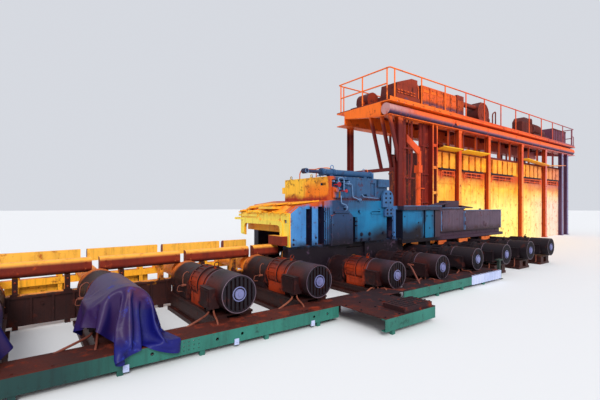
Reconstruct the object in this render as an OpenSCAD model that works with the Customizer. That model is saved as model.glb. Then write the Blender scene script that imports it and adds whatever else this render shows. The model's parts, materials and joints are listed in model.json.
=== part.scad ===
// Hot rolling mill stand with its roller table, table drives and side gallery.
// X runs along the rolling direction, Y across it away from the drive side, Z up.
// The origin is on the floor, below the middle of the stand, on the pass line. Sizes in mm.

/* [Pass line] */
// Height of the roller tops above the floor
pass_z = 740; // [730:5:760]
// Height of the entry rollers' shafts
entry_axis_z = 595; // [585:5:600]
// Height of the shafts of the two feed rollers in the stand
feed_axis_z = 480; // [475:5:490]
// Height of the exit rollers' shafts
exit_axis_z = 530; // [525:5:545]
// Half length of a table roller barrel
barrel_half = 560; // [450:10:600]
// Radius of a table roller neck
neck_r = 38; // [30:1:39]
// Distance between entry rollers
entry_pitch = 1400; // [1350:10:1500]
// Distance between exit rollers
exit_pitch = 1450; // [1400:10:1500]
// Number of entry rollers
entry_count = 4; // [3:1:5]
// Number of exit rollers
exit_count = 4; // [3:1:4]
// Place of the first entry roller before the stand
entry_x = -2450; // [-2500:10:-2400]
// Place of the first exit roller after the stand
exit_x = 2400; // [2380:10:2450]
// Distance of each feed roller in the stand from the mill rolls
feed_off = 750; // [720:10:780]

/* [Stand] */
// Length of the stand
stand_l = 3520; // [3440:20:3600]
// Distance of the side faces from the pass centre
side_y = 1190; // [1170:10:1230]
// Height of the lower cases
case_z = 1780; // [1740:10:1820]
// Height of the top case
top_z = 2450; // [2400:10:2500]
// Length of the top case
top_l = 1540; // [1440:20:1600]
// Place of the mill rolls along the pass line
mill_x = 200; // [150:10:250]
// Radius of a mill roll barrel
roll_r = 230; // [210:5:240]
// Radius of a mill roll neck
roll_neck_r = 120; // [100:5:130]
// Gap between the mill rolls
roll_gap = 120; // [100:5:150]
// Thickness of a housing
housing_t = 300; // [260:10:320]
// Thickness of the cover plates on a housing
cover_t = 80; // [60:5:100]

/* [Table] */
// Distance of the guards from the pass centre
guard_y = 780; // [760:10:800]
// Height of a side guard beam
guard_h = 225; // [200:5:250]
// Thickness of a side guard beam
guard_t = 150; // [130:5:160]
// Gap between two guard beams over a roller
guard_gap = 110; // [90:5:130]
// Height of the window sills under the guards
sill_z = 490; // [470:5:490]
// Length of the tables before the first roller and after the last one
table_end = 700; // [620:10:700]

/* [Drives] */
// Radius of a motor body
motor_r = 260; // [240:5:265]
// Length of a motor body with its fan cowl
motor_l = 1160; // [1100:10:1180]
// Distance of the fan ends from the pass centre
motor_y = 2940; // [2900:10:2960]
// Radius of a coupling guard
coupling_r = 270; // [255:5:280]
// Height of the motor shafts above the coupling guards' centres
coupling_drop = 60; // [40:5:70]

/* [Kerb] */
// Height of the kerb channel's top
kerb_z = 250; // [240:5:260]
// Height of the kerb channel
kerb_h = 185; // [170:5:200]
// Distance of the kerb channel's face from the pass centre
kerb_y = 3200; // [3180:10:3250]
// Width of the rusty plate behind the channel
kerb_w = 430; // [420:10:460]
// Distance between the legs under the kerb
leg_pitch = 900; // [700:50:1100]

/* [Gallery] */
// Place of the gallery's left end
gallery_x = 4100; // [4000:20:4200]
// Average length of one bay
bay_l = 2900; // [2800:20:3000]
// Distance of the gallery's near edge from the pass centre
gallery_y = 1070; // [1040:10:1100]
// Depth of the gallery
gallery_d = 2730; // [2600:10:2900]
// Height of the deck
deck_z = 5550; // [5400:10:5700]
// Height of the edge girder
girder_h = 560; // [540:10:600]
// Radius of the round duct in the edge girder
duct_r = 205; // [180:5:215]
// Height of the handrail above the deck
rail_h = 1150; // [1100:10:1250]
// Number of bays of the long handrails
rail_bays = 11; // [8:1:12]
// Height of the lower wall
wall_z = 3300; // [3200:10:3400]
// Height of the ribbed panels
panel_h = 720; // [650:10:760]

/* [Hidden] */

// Common clearance, sheet thickness and overshoot of a cut
fit = 0.3;
plate = 12;
cut = 1;

// Rollers and the table
entry_xs = [for (i = [0 : entry_count - 1]) entry_x - i * entry_pitch];
exit_xs = [for (i = [0 : exit_count - 1]) exit_x + i * exit_pitch];
feed_xs = [mill_x - feed_off, mill_x + feed_off];
driven_xs = concat(entry_xs, feed_xs, exit_xs);
table_x0 = entry_xs[entry_count - 1] - table_end;
table_x1 = exit_xs[exit_count - 1] + table_end;
bearing_half = 130;
bearing_r = 110;
bearing_t = guard_t - 40;
bearing_in = 20;
bearing_floor = 20;
frame_in = 15;
post_off = 380;
post_w = 70;
sill_h = 120;
apron_gap = 160;
apron_z = 60;
guard_top = pass_z + guard_h;

// Stand
stand_x0 = -stand_l / 2;
stand_x1 = stand_l / 2;
bed_t = 60;
roll_bottom_z = pass_z - roll_r;
roll_top_z = pass_z + roll_gap + roll_r;
roll_collar = [40, 90];
chock_half = roll_r + roll_gap / 2 - 10;
chock_in = 60;
wall_y1 = side_y - cover_t;
wall_y0 = wall_y1 - 210;
neck_end = wall_y1 - chock_in - 10;
window_half = 320;
leg_w = 320;
housing_half = window_half + leg_w;
window_z0 = roll_bottom_z - chock_half;
window_z1 = case_z - 180;
case_top = case_z + 130;
pocket_half = 70;
pocket_edge = 60;
screw_r = 70;
nut = [120, 90];
cover_z = 930;
slot_depth = 150;
slot_edge = 90;
shaft_hole_r = 90;
top_x0 = -690;
top_x1 = top_x0 + top_l;
top_far_y = 570;
slope_x = stand_x0 + 220;
slope_z = case_z - 150;
panel_x1 = 30;
shoulder_x = -110;
shoulder_z = case_z - 230;
entry_posts = [[stand_x0, stand_x0 + 400], [stand_x0 + 560, stand_x0 + 730], [stand_x0 + 910, panel_x1]];
post_knees = [slope_x, (entry_posts[1][0] + entry_posts[1][1]) / 2];
post_drop = 10;
far_wall_x0 = stand_x0 + 460;
exit_post = [stand_x1 - 310, stand_x1 - 170];
rib_t = 25;
ridge_xs = [stand_x0 + 930, stand_x0 + 985, stand_x0 + 1040];
door_x = [stand_x0 + 1090, panel_x1 - 20];
door_z = slope_z - 20;
door_r = 150;
ledge_h = 35;
gear_x0 = panel_x1 + 90;
gear_x1 = exit_post[0] - 20;
gear_low_x1 = gear_x1 - 200;
gear_low_z = case_z - 280;
gear_slot = [gear_x0 + 520, gear_x0 + 900];
boss = [gear_x0 + 120, case_z - 130, 36];
gear_cover_t = 60;
gear_cover_bolt_r = 22;
gear_covers_at = [
    [gear_x1 - 210, case_top + 70, 200, case_z - 30],
    [gear_x1 - 170, case_z - 190, 165, case_z - 250]];
side_block = [[top_x1, -side_y + 60, case_top], [gear_x1 - 110, -side_y + 600, top_z - 190]];
cap_block = [[top_x1 + 70, -side_y, top_z - 190], [gear_x1 - 90, -side_y + 260, top_z]];
valve_bay = [top_x0 + 60, top_x0 + 590];
valve_bay_d = 150;
cyl_x0 = top_x0 - 150;
cyl_x1 = top_x1 - 30;
cyl_r = 75;
cyl_y = -side_y + 160;
cyl_z = top_z + cyl_r + 20;
cyl_collar = [14, 55];
cyl_saddles = [cyl_x0 + 300, cyl_x1 - 260];
rod_l = 430;
rod_r = 38;
rod_eye = [60, 20];
face_t = 40;
face_x0 = stand_x0 - face_t;
mouth_y = [-880, 680];
mouth_z = pass_z + 630;
mouth_r = 90;
lip = [25, 95];
far_post_z = pass_z + 360;
lintel_x = stand_x0 + 160;
lintel_z = pass_z + 460;
lath_t = 55;
laths = [
    [-50, 1190, slope_z - 185],
    [50, 970, slope_z - 95],
    [-150, 510, slope_z - 5],
    [-600, 0, slope_z + 85]];
lath_step = 90;
lath_l = 420;
roof_t = 60;
stop_x = face_x0 - 150;

// Cases beside the exit table
box_x0 = stand_x1 + 120;
box_l = 1720;
box_x1 = box_x0 + box_l;
box_back_y = guard_y + 70;
box_in = 40;
panel_xs = [[box_x0, box_x0 + 900], [box_x0 + 990, box_x0 + 1400], [box_x0 + 1470, box_x1]];
plain_l = [1320, 2400];
plain_drop = [90, 130];
pedestal_half = 110;
lid_t = 110;
lid_over = 60;
lid_box = [box_x1 + 363, box_x1 + 1110, 160];
ledge_y = side_y + 70;

// Drives
motor_face_y = -motor_y + motor_l;
cowl_l = 540;
cowl_y1 = -motor_y + cowl_l;
body_r = motor_r - 15;
shield = [40, 90, 320];
foot_in = 60;
foot_x = 190;
foot_half = 60;
foot_drop = 120;
eye_half = 22;
eye_y = [motor_face_y - 470, motor_face_y - 390];
eye_h = 40;
coupling_y0 = motor_face_y + 20;
coupling_hole_r = 150;
hub_gap = 10;
shaft_r = 36;
bed_drop = motor_r + 30;
bed_half = 330;
rib_half = 90;
bed_plate_t = 30;
bed_foot = 60;
hub_r = 100;
hub_groove = [78, 58];
grille_half = 3;
grille_pitch = 62;
grille_slot = 30;
grille_rim = 32;
grille_depth = 40;
terminal_y = [motor_face_y - 960, motor_face_y - 600];
terminal_z = [-200, 70];
terminal_w = 90;
sheet_x = entry_xs[entry_count - 2];
sheet_top = entry_axis_z + motor_r + 30;
sheet_w = 1060;
sheet_l = 720;
sheet_t = 20;
sheet_front = [40, 180, 360];
sheet_hem_z = kerb_z - 90;
sheet_knee_z = [kerb_z + 80, sheet_top - 60];
sheet_tail = [-270, -160, 60];
sheet_shoulder = 60;
sheet_side_z = entry_axis_z + 75;

// Kerb and step
web_t = 14;
flange_w = 75;
flange_t = 14;
leg_in = 150;
leg_w2 = [60, 12, 60];
kerb_y1 = -kerb_y + kerb_w;
kerb_gap = [-2280, -680];
kerb_end = 3000;
kerb_holes = [-5050, -4284, -3944, -2766, -2510, 428, 1204];
kerb_hole_r = 20;
splice_xs = [-4760, 640];
splice_pitch = 60;
splice_hole_r = 8;
notch_half = 180;
notch_y = -motor_y - 20;
step_x = [-2250, -1100];
step_y = kerb_y + 900;
step_box = [[step_x[0] + 430, -step_y + 20], [step_x[1] - 60, -step_y + 420], 70];

// Gallery
column_steps = [0, 1.37, 2.24, 3.44, 4.49, 5.335, 5.63];
over_l = 530;
column_xs = [for (step = column_steps) gallery_x + over_l + bay_l * step];
column_w = 200;
column_web = 20;
column_foot = [40, 25];
end_l = 1250;
gallery_x1 = column_xs[len(column_xs) - 1] + end_l;
gallery_l = gallery_x1 - gallery_x;
gallery_y1 = gallery_y + gallery_d;
girder_z = deck_z - girder_h;
girder_w = 460;
flange = 30;
girder_web = 20;
duct_y = gallery_y + duct_r + 15;
ring_h = 12;
ring_l = 40;
ring_xs = [for (x = [gallery_x + 1150 : bay_l : gallery_x1]) x];
boss_x = gallery_x + 4250;
duct_z = girder_z + flange + duct_r + ring_h;
end_beam_w = 180;
end_beam_far = 280;
end_beam_y = [gallery_y + girder_w + 120, gallery_y1 - girder_w];
wall_gap = 240;
wall_face_y = gallery_y + wall_gap;
wall_back_y = gallery_y1 - wall_gap;
ladder_w = 350;
ladder_post = 70;
ladder_x = gallery_x + 2600;
ladder_zs = [700, 1500, 2250, 3250, 4120];
ladder_bar_h = 110;
wall_x0 = ladder_x + ladder_w;
wall_x1 = column_xs[len(column_xs) - 2] + 430;
wall_t = 60;
column_y = wall_face_y - column_w;
panel_top = wall_z + panel_h;
rib_pitch = 520;
rib_w = 390;
rib_in = 40;
window_bays = 12;
window_post = 80;
window_rail = 90;
canopy_d = 420;
canopy_t = 30;
canopy_in = 30;
canopy_rise = 110;
canopies_at = [
    [wall_x0 + canopy_in, column_xs[1] - canopy_in],
    [column_xs[1] + column_w + canopy_in, column_xs[2] - 10 * canopy_in]];
bent_at = [
    [column_xs[3] + column_w + canopy_in, column_xs[4] - canopy_in, 210, 40],
    [column_xs[4] + column_w + canopy_in, column_xs[5] - canopy_in, 40, 180]];
brace_w = 70;
brace_y0 = gallery_y + 60;
brace_ys = [gallery_y + 430, gallery_y + 930];
brace_top = [gallery_x + 30, gallery_x + 170];
brace_foot = [column_xs[0] + 60, column_xs[0] + column_w];
brace_low_z = girder_z - 1790;
girt_h = 120;
pipe_xs = [column_xs[0] + 300, column_xs[0] + 460, column_xs[0] + 600];
pipe_rs = [70, 70, 45];
side_panel_x0 = gallery_x + 2050;
lift_x = gallery_x + 1870;
lift_y = wall_face_y - 60;
lift_r = 95;
lift_z = 3050;
lift_box = [110, 280];
lift_rod = [60, 550];
lift_foot = [160, 40];
lift_arm = [22, 590];
chute_y = [lift_y - 40, lift_y + 40];
chute = [[pipe_xs[2], girder_z - 550], [lift_x + 70, girder_z - 990], [lift_x + 70, girder_z - 1290],
    [pipe_xs[2], girder_z - 840]];
cabinet_x = gallery_x + 2360;
cabinet_l = 2460;
cabinet_y = [gallery_y + 370, gallery_y + 1050];
cabinet_h = 1010;
cabinet_doors = 5;
deck_xs = [for (step = [0.09, 0.27, 2.293, 3.883, 4.414, 5.345]) gallery_x + bay_l * step];
deck_in = 350;
deck_back = 530;
cradle = 30;
fan_bed = [1000, 900, 120];
fan_lift = 20;
fan_in = 150;
fan_r = 330;
fan_motor_r = 140;
hood_bed = [1440, 900, 420];
hood_in = 70;
hood_h = 1150;
end_box_gap = 60;
end_box = [540, 530, 1070];
end_duct = [110, 860];
end_box_x = cabinet_x + cabinet_l + end_box_gap;
drum_bed = [1450, 700, 260];
drum_at = [620, 610];
drum_r = 520;
drum_in = 60;
drum_motor_r = 190;
bin_size = [930, 500, 1050];
bin_slant = 250;
pump_bed = [2100, 750, 330];
pump_in = 100;
pump_rs = [330, 220];
last_box = [2100, 1000, 950];
door_gap = 40;
door_edge = 90;
rail_r = 26;
rail_in = 60;
rail_x0 = 330;

// Height of the entry walls' sloping top at a place along the pass line
function roof_at(x) = x < slope_x ? slope_z + (x - stand_x0) * (case_z - slope_z) / (slope_x - stand_x0)
    : x < top_x0 ? case_z + (x - slope_x) * (case_top - case_z) / (top_x0 - slope_x) : case_top;

// Height of the raised posts' tops, just under the roof and level beyond its slope
function post_top(x) = min(roof_at(x), case_z) - post_drop;

// True for a place inside the stand
function in_stand(x) = x > stand_x0 && x < stand_x1;

// Height and radius of the roller at a place along the pass line, and of the sill beside it
function axis_of(x) = in_stand(x) ? feed_axis_z : x < 0 ? entry_axis_z : exit_axis_z;
function radius_of(x) = pass_z - axis_of(x);
function sill_of(x) = in_stand(x) ? feed_axis_z - neck_r - bearing_floor : sill_z;

// Pass side end of a coupling guard, and the top of the bed below it
function coupling_y1(x) = in_stand(x) ? -side_y - 60 : -guard_y - 150;
function bed_top(x) = axis_of(x) - bed_drop;

// Underside of the end beams at a place across them
function end_beam_z(y) = girder_z + max(0, y - end_beam_y[0]) * (deck_z - flange - end_beam_far - girder_z)
    / (end_beam_y[1] - end_beam_y[0]);

// Height at which the lower or upper edge of a brace meets the first column
function brace_z(i) = girder_z + (column_xs[0] - brace_top[i]) * (brace_low_z - girder_z)
    / (brace_foot[i] - brace_top[i]);

// True where a piece between two places along the wall misses every column
function clear_of_columns(x0, x1) = len([for (c = column_xs) if (x1 > c && x0 < c + column_w) c]) == 0;

// Stretches of side guard from end to end, with a gap over each roller
function guard_bays(ends) = [for (i = [1 : len(ends) - 1]) [
    ends[i - 1] + (i == 1 ? 0 : guard_gap / 2), ends[i] - (i == len(ends) - 1 ? 0 : guard_gap / 2)]];

entry_ends = concat([table_x0], [for (i = [entry_count - 1 : -1 : 0]) entry_xs[i]], [face_x0]);
exit_ends = concat([stand_x1], exit_xs, [table_x1]);
table_spans = [[table_x0, stand_x0], [stand_x0, mill_x - window_half],
    [mill_x + window_half, stand_x1], [stand_x1, table_x1]];

// A box between two opposite corners
module span(lo, hi) {
    translate(lo) cube(hi - lo);
}

// A round bar along X, Y or Z from a point
module bar_x(at, r, l) {
    translate(at) rotate([0, 90, 0]) cylinder(r = r, h = l, $fn = 48);
}
module bar_y(at, r, l) {
    translate(at) rotate([-90, 0, 0]) cylinder(r = r, h = l, $fn = 48);
}
module bar_z(at, r, l) {
    translate(at) cylinder(r = r, h = l, $fn = 48);
}

// A prism along Y from an outline in X and Z, and one along X from an outline in Y and Z
module prism_y(y0, y1, outline) {
    translate([0, y1, 0]) rotate([90, 0, 0]) linear_extrude(y1 - y0) polygon(outline);
}
module prism_x(x0, x1, outline) {
    translate([x0, 0, 0]) rotate([90, 0, 90]) linear_extrude(x1 - x0) polygon(outline);
}

// Both sides of the pass line: as drawn, and mirrored to the far side
module both_sides() {
    children();
    mirror([0, 1, 0]) children();
}

// The sole plate under the stand
module bed_plate() {
    color("#1c1416") {
        span([stand_x0, -side_y, 0], [stand_x1, side_y, bed_t]);
    }
}

// One mill housing: a closed frame with the window that holds the chocks
module housing(y0) {
    difference() {
        span([mill_x - housing_half, y0, bed_t], [mill_x + housing_half, y0 + housing_t, case_top]);
        span([mill_x - window_half, y0 - cut, window_z0],
             [mill_x + window_half, y0 + housing_t + cut, window_z1]);
        for (side = [-1, 1])
            span([mill_x + side * (window_half + leg_w / 2) - pocket_half, y0 - cut, window_z1 + pocket_edge],
                 [mill_x + side * (window_half + leg_w / 2) + pocket_half, y0 + housing_t + cut,
                  case_top - pocket_edge]);
    }
}

module housing_near() {
    color("#2c5f7e") housing(-wall_y1);
}

module housing_far() {
    color("#2c5f7e") housing(wall_y1 - housing_t);
}

// A mill roll with stepped necks
module mill_roll(z) {
    color("#6b6b70") translate([mill_x, 0, z]) rotate([-90, 0, 0]) union() {
        translate([0, 0, -barrel_half]) cylinder(r = roll_r, h = 2 * barrel_half, $fn = 96);
        translate([0, 0, -barrel_half - roll_collar[1]])
            cylinder(r = roll_neck_r + roll_collar[0], h = 2 * (barrel_half + roll_collar[1]), $fn = 64);
        translate([0, 0, -neck_end]) cylinder(r = roll_neck_r, h = 2 * neck_end, $fn = 64);
    }
}

module mill_rolls() {
    mill_roll(roll_bottom_z);
    mill_roll(roll_top_z);
}

// The four bearing chocks, two in each housing window
module roll_chocks() {
    color("#39434c") both_sides() for (z = [roll_bottom_z, roll_top_z])
        difference() {
            span([mill_x - window_half, -wall_y1 + chock_in, z - chock_half],
                 [mill_x + window_half, -wall_y1 + housing_t, z + chock_half]);
            bar_y([mill_x, -wall_y1 - cut, z], roll_neck_r + fit, housing_t + 2 * cut);
        }
}

// Screws that hold the top chocks down, with their nuts in the window tops
module adjusting_screws() {
    color("#77726a") both_sides() union() {
        bar_z([mill_x, -wall_y1 + housing_t / 2, roll_top_z + chock_half], screw_r,
            window_z1 - roll_top_z - chock_half);
        bar_z([mill_x, -wall_y1 + housing_t / 2, window_z1 - nut[1]], nut[0], nut[1]);
    }
}

// Entry side walls: raised posts with deep slots between them, ribs, a ledge and the round topped door
module entry_walls() {
    color("#3f86b0") difference() {
        union() {
            prism_y(-wall_y1, -wall_y0, [
                [stand_x0, bed_t], [mill_x - housing_half, bed_t], [mill_x - housing_half, case_top],
                [top_x0, case_top], [slope_x, case_z], [stand_x0, slope_z]]);
            for (i = [0 : 1])
                prism_y(-side_y, -wall_y1, [
                    [entry_posts[i][0], cover_z], [entry_posts[i][1], cover_z],
                    [entry_posts[i][1], post_top(entry_posts[i][1])],
                    [post_knees[i], post_top(post_knees[i])],
                    [entry_posts[i][0], post_top(entry_posts[i][0])]]);
            prism_y(-side_y, -wall_y1, [
                [entry_posts[2][0], cover_z], [panel_x1, cover_z], [panel_x1, shoulder_z - fit],
                [shoulder_x, shoulder_z - fit], [shoulder_x, case_top], [top_x0, case_top],
                [entry_posts[2][0], roof_at(entry_posts[2][0])]]);
            for (x = ridge_xs)
                span([x, -side_y - rib_t, cover_z], [x + rib_t, -side_y, case_z - 30]);
            prism_y(-side_y - rib_t, -side_y, [
                [door_x[0], cover_z - 30], [door_x[1], cover_z - 30], [door_x[1], door_z - 60],
                [door_x[1] - 60, door_z], [door_x[0] + door_r, door_z],
                [door_x[0] + door_r * 0.3, door_z - door_r * 0.3], [door_x[0], door_z - door_r]]);
            span([door_x[0] + 90, -side_y - 2 * rib_t, door_z + 10],
                 [shoulder_x, -side_y, door_z + 10 + ledge_h]);
        }
        bar_y([feed_xs[0], -wall_y1 - cut, feed_axis_z], shaft_hole_r, wall_y1 - wall_y0 + 2 * cut);
        bar_y([shoulder_x - 130, -side_y - cut, door_z + 110], ledge_h, slot_depth);
        for (i = [0 : 1])
            span([entry_posts[i][1], -wall_y1 - cut, cover_z],
                 [entry_posts[i + 1][0], -wall_y1 + slot_depth, roof_at(entry_posts[i][1]) - slot_edge]);
    }
    color("#3f86b0") difference() {
        prism_y(wall_y0, wall_y1, [
            [far_wall_x0, bed_t], [mill_x - housing_half, bed_t], [mill_x - housing_half, case_top],
            [top_x0, case_top], [far_wall_x0, roof_at(far_wall_x0)]]);
        bar_y([feed_xs[0], wall_y0 - cut, feed_axis_z], shaft_hole_r, wall_y1 - wall_y0 + 2 * cut);
    }
}

// Gear case on the near face, with its slot ledge and the round boss
module gear_case() {
    color("#2f93b4") difference() {
        union() {
            prism_y(-side_y, -wall_y1, [
                [gear_x0, cover_z], [gear_low_x1, cover_z], [gear_low_x1, gear_low_z], [gear_x1, gear_low_z],
                [gear_x1, case_top], [shoulder_x, case_top], [shoulder_x, shoulder_z],
                [gear_x0, shoulder_z - 30]]);
            span([gear_slot[0], -side_y - rib_t, case_z - 190],
                 [gear_slot[1], -side_y, case_z - 190 + ledge_h]);
            bar_y([boss[0], -side_y - 2 * rib_t, boss[1]], boss[2], 2 * rib_t);
        }
        span([gear_slot[0] + 40, -side_y - cut, case_z - 190 + ledge_h],
             [gear_slot[1] - 30, -side_y + 2 * rib_t, case_z - 130]);
    }
}

// Round topped gear covers, one above the other, with two columns of bolt holes
module gear_covers() {
    color("#4f9dc4") for (c = gear_covers_at) difference() {
        union() {
            bar_y([c[0], -side_y - gear_cover_t, c[1]], c[2], gear_cover_t);
            span([c[0] - c[2], -side_y - gear_cover_t, min(c[1], c[3] + 60) - 60],
                 [c[0] + c[2], -side_y, c[1]]);
        }
        for (side = [-1, 1], up = [-1, 0, 1])
            bar_y([c[0] + side * c[2] * 0.42, -side_y - gear_cover_t - cut, c[1] + up * c[2] * 0.55],
                gear_cover_bolt_r, gear_cover_t / 2 + cut);
        span([c[0] - c[2] - cut, -side_y - gear_cover_t - cut, 0],
             [c[0] + c[2] + cut, -side_y + cut, min(c[1], c[3] + 60) - 60]);
    }
}

// The top case across the housings, with its valve bay, slot and side blocks
module top_case() {
    color("#34566f") union() {
        difference() {
            span([top_x0, -side_y, case_top], [top_x1, top_far_y, top_z]);
            span([valve_bay[0], -side_y - cut, case_top + 60],
                 [valve_bay[1], -side_y + valve_bay_d, top_z - 70]);
            span([top_x0 - cut, -side_y + 130, top_z - 200], [top_x0 + 60, -side_y + 320, top_z - 140]);
            span([top_x1 - 520, -side_y - cut, case_top + 75], [top_x1 - 340, -side_y + 50, case_top + 150]);
            span([top_x1 - 230, -side_y - cut, case_top + 110], [top_x1 - 60, -side_y + 30, top_z - 110]);
        }
        span([top_x0, top_far_y, case_top + 190], [top_x0 + 300, top_far_y + 130, top_z - 190]);
        span(side_block[0], side_block[1]);
        span(cap_block[0], cap_block[1]);
    }
}

// The hydraulic cylinder on the top case, with its rod, collars, saddles and end lug
module balance_cylinder() {
    color("#3c7aa3") union() {
        bar_x([cyl_x0, cyl_y, cyl_z], cyl_r, cyl_x1 - cyl_x0);
        for (x = [cyl_x0 + 20, cyl_x0 + 340, cyl_x1 - 80])
            bar_x([x, cyl_y, cyl_z], cyl_r + cyl_collar[0], cyl_collar[1]);
        for (x = cyl_saddles)
            span([x - 50, cyl_y - 60, top_z], [x + 50, cyl_y + 60, cyl_z]);
        span([cyl_x1, cyl_y - 30, top_z], [cyl_x1 + 70, cyl_y + 30, cyl_z + 60]);
        bar_x([cyl_x0 - rod_l, cyl_y, cyl_z], rod_r, rod_l);
        bar_y([cyl_x0 - rod_l, cyl_y - rod_eye[0], cyl_z], rod_r + rod_eye[1], 2 * rod_eye[0]);
    }
}

// Valve block in the bay of the top case, with its bodies and ports
module valve_block() {
    color("#2a4a63") union() {
        span([valve_bay[0], -side_y - 40, case_top + 60],
             [valve_bay[0] + 170, -side_y + valve_bay_d, case_top + 300]);
        span([valve_bay[0] + 210, -side_y - 60, case_top + 60],
             [valve_bay[0] + 330, -side_y + valve_bay_d, case_top + 200]);
        span([valve_bay[0] + 370, -side_y - 20, case_top + 60],
             [valve_bay[0] + 510, -side_y + valve_bay_d, case_top + 350]);
        span([valve_bay[0], -side_y + 90, case_top + 60],
             [valve_bay[1], -side_y + valve_bay_d, case_top + 120]);
        bar_y([valve_bay[0] + 80, -side_y - 110, case_top + 230], 50, 110);
        bar_y([valve_bay[0] + 440, -side_y - 90, case_top + 260], 45, 90);
        bar_x([valve_bay[0] + 100, -side_y + 60, case_top + 250], 32, valve_bay[1] - valve_bay[0] - 160);
    }
}

// An outline of the entry mouth in Y and Z, widened by a margin, with its upper corners rounded
function mouth_outline(m) = [
    [mouth_y[0] - m, cover_z - cut], [mouth_y[1] + m, cover_z - cut], [mouth_y[1] + m, mouth_z + m - mouth_r],
    [mouth_y[1] + m - mouth_r * 0.3, mouth_z + m - mouth_r * 0.3], [mouth_y[1] + m - mouth_r, mouth_z + m],
    [mouth_y[0] - m + mouth_r, mouth_z + m], [mouth_y[0] - m + mouth_r * 0.3, mouth_z + m - mouth_r * 0.3],
    [mouth_y[0] - m, mouth_z + m - mouth_r]];

// Entry face with its lipped mouth, the lintel inside, stepped laths and the sloping roof behind
module entry_hood() {
    color("#f0a52a") union() {
        difference() {
            union() {
                prism_x(face_x0, stand_x0, [
                    [-side_y, cover_z], [wall_y0, far_post_z], [wall_y0, slope_z], [-side_y, slope_z]]);
                prism_x(face_x0 - lip[0], face_x0, mouth_outline(lip[1]));
            }
            prism_x(face_x0 - 2 * lip[0], stand_x0 + cut, mouth_outline(0));
            span([face_x0 - lip[0] - cut, -side_y - cut, 0], [face_x0 + cut, side_y, far_post_z + 30]);
            span([face_x0 - cut, -side_y + 90, mouth_z + 50], [stand_x0 + cut, -side_y + 190, mouth_z + 120]);
        }
        span([lintel_x, -wall_y0, lintel_z], [lintel_x + face_t, wall_y0, roof_at(lintel_x) - roof_t / 2]);
        prism_y(-wall_y0, wall_y0, [
            [stand_x0, slope_z - roof_t], [slope_x, case_z - roof_t], [top_x0, case_top - roof_t],
            [top_x0, case_top], [slope_x, case_z], [stand_x0, slope_z]]);
        for (i = [0 : 3])
            span([face_x0 - lip[0], laths[i][0], laths[i][2]],
                 [stand_x0 + lath_l + i * lath_step, laths[i][1], laths[i][2] + lath_t]);
        span([stand_x0, 700, slope_z - 200], [stand_x0 + lath_l, 900, slope_z - 40]);
    }
}

// Exit side walls with the narrow post of the near face and the deep slots beside it
module exit_walls() {
    color("#4a8fb5") both_sides() difference() {
        union() {
            span([mill_x + housing_half, -wall_y1, bed_t], [stand_x1, -wall_y0, case_z]);
            span([exit_post[0], -side_y, cover_z], [exit_post[1], -wall_y1, case_z - 50]);
        }
        bar_y([feed_xs[1], -wall_y1 - cut, feed_axis_z], shaft_hole_r, wall_y1 - wall_y0 + 2 * cut);
        span([gear_low_x1, -wall_y1 - cut, cover_z], [exit_post[0], -wall_y1 + slot_depth, gear_low_z]);
        span([exit_post[1], -wall_y1 - cut, cover_z],
             [stand_x1 + cut, -wall_y1 + slot_depth, case_z - slot_edge]);
    }
}

// Blue case beside the exit table: raised panels on its face
module exit_case() {
    color("#2f7fa0") union() {
        span([box_x0, -side_y + box_in, cover_z], [box_x1, -box_back_y, case_z - lid_t]);
        for (p = panel_xs)
            span([p[0], -side_y, cover_z - 40], [p[1], -side_y + box_in, case_z - lid_t - 10]);
    }
}

// Dark lid of the exit case, with the small box behind its end
module exit_lid() {
    color("#1d1a20") union() {
        span([box_x0 - 40, -side_y - lid_over, case_z - lid_t], [box_x1, -box_back_y, case_z]);
        span([lid_box[0], -side_y + 60, case_z - plain_drop[0] + 30],
             [lid_box[1], -box_back_y - 60, case_z + lid_box[2]]);
        span([box_x1, -side_y - 30, case_z - plain_drop[0]],
             [box_x1 + plain_l[0], -box_back_y, case_z - plain_drop[0] + 30]);
    }
}

// The lower plain boxes further down the exit side, with the edge ledge
module exit_boxes() {
    color("#6f6470") for (i = [0 : 1]) {
        x0 = box_x1 + (i == 0 ? 0 : plain_l[0] + 20);
        span([x0, -side_y, cover_z + 90],
             [x0 + plain_l[i] - 20, -box_back_y, case_z - plain_drop[i]]);
    }
}

// Pedestals and the ledge under the cases beside the exit table, clear of the drive shafts
module case_pedestals() {
    color("#191417") union() {
        span([stand_x1, -ledge_y, cover_z - 130],
             [box_x1 + plain_l[0] + plain_l[1], -box_back_y, cover_z - 40]);
        span([box_x1, -side_y + 60, cover_z - 40],
             [box_x1 + plain_l[0] + plain_l[1], -box_back_y, cover_z + 90]);
        span([stand_x1, -side_y + box_in, cover_z - 40], [box_x1, -box_back_y, cover_z]);
        for (i = [0 : exit_count - 2])
            span([exit_xs[i] + exit_pitch / 2 - pedestal_half, -wall_y1, 0],
                 [exit_xs[i] + exit_pitch / 2 + pedestal_half, -box_back_y, cover_z - 130]);
        span([stand_x1, -wall_y1, 0], [box_x0 + 100, -box_back_y, cover_z - 130]);
    }
}

// The driven rollers of the table and the stand
module table_rollers() {
    color("#5d4036") for (x = driven_xs) translate([x, 0, axis_of(x)]) rotate([-90, 0, 0]) union() {
        translate([0, 0, -barrel_half]) cylinder(r = radius_of(x), h = 2 * barrel_half, $fn = 72);
        translate([0, 0, -guard_y]) cylinder(r = neck_r, h = 2 * guard_y, $fn = 48);
    }
}

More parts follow.
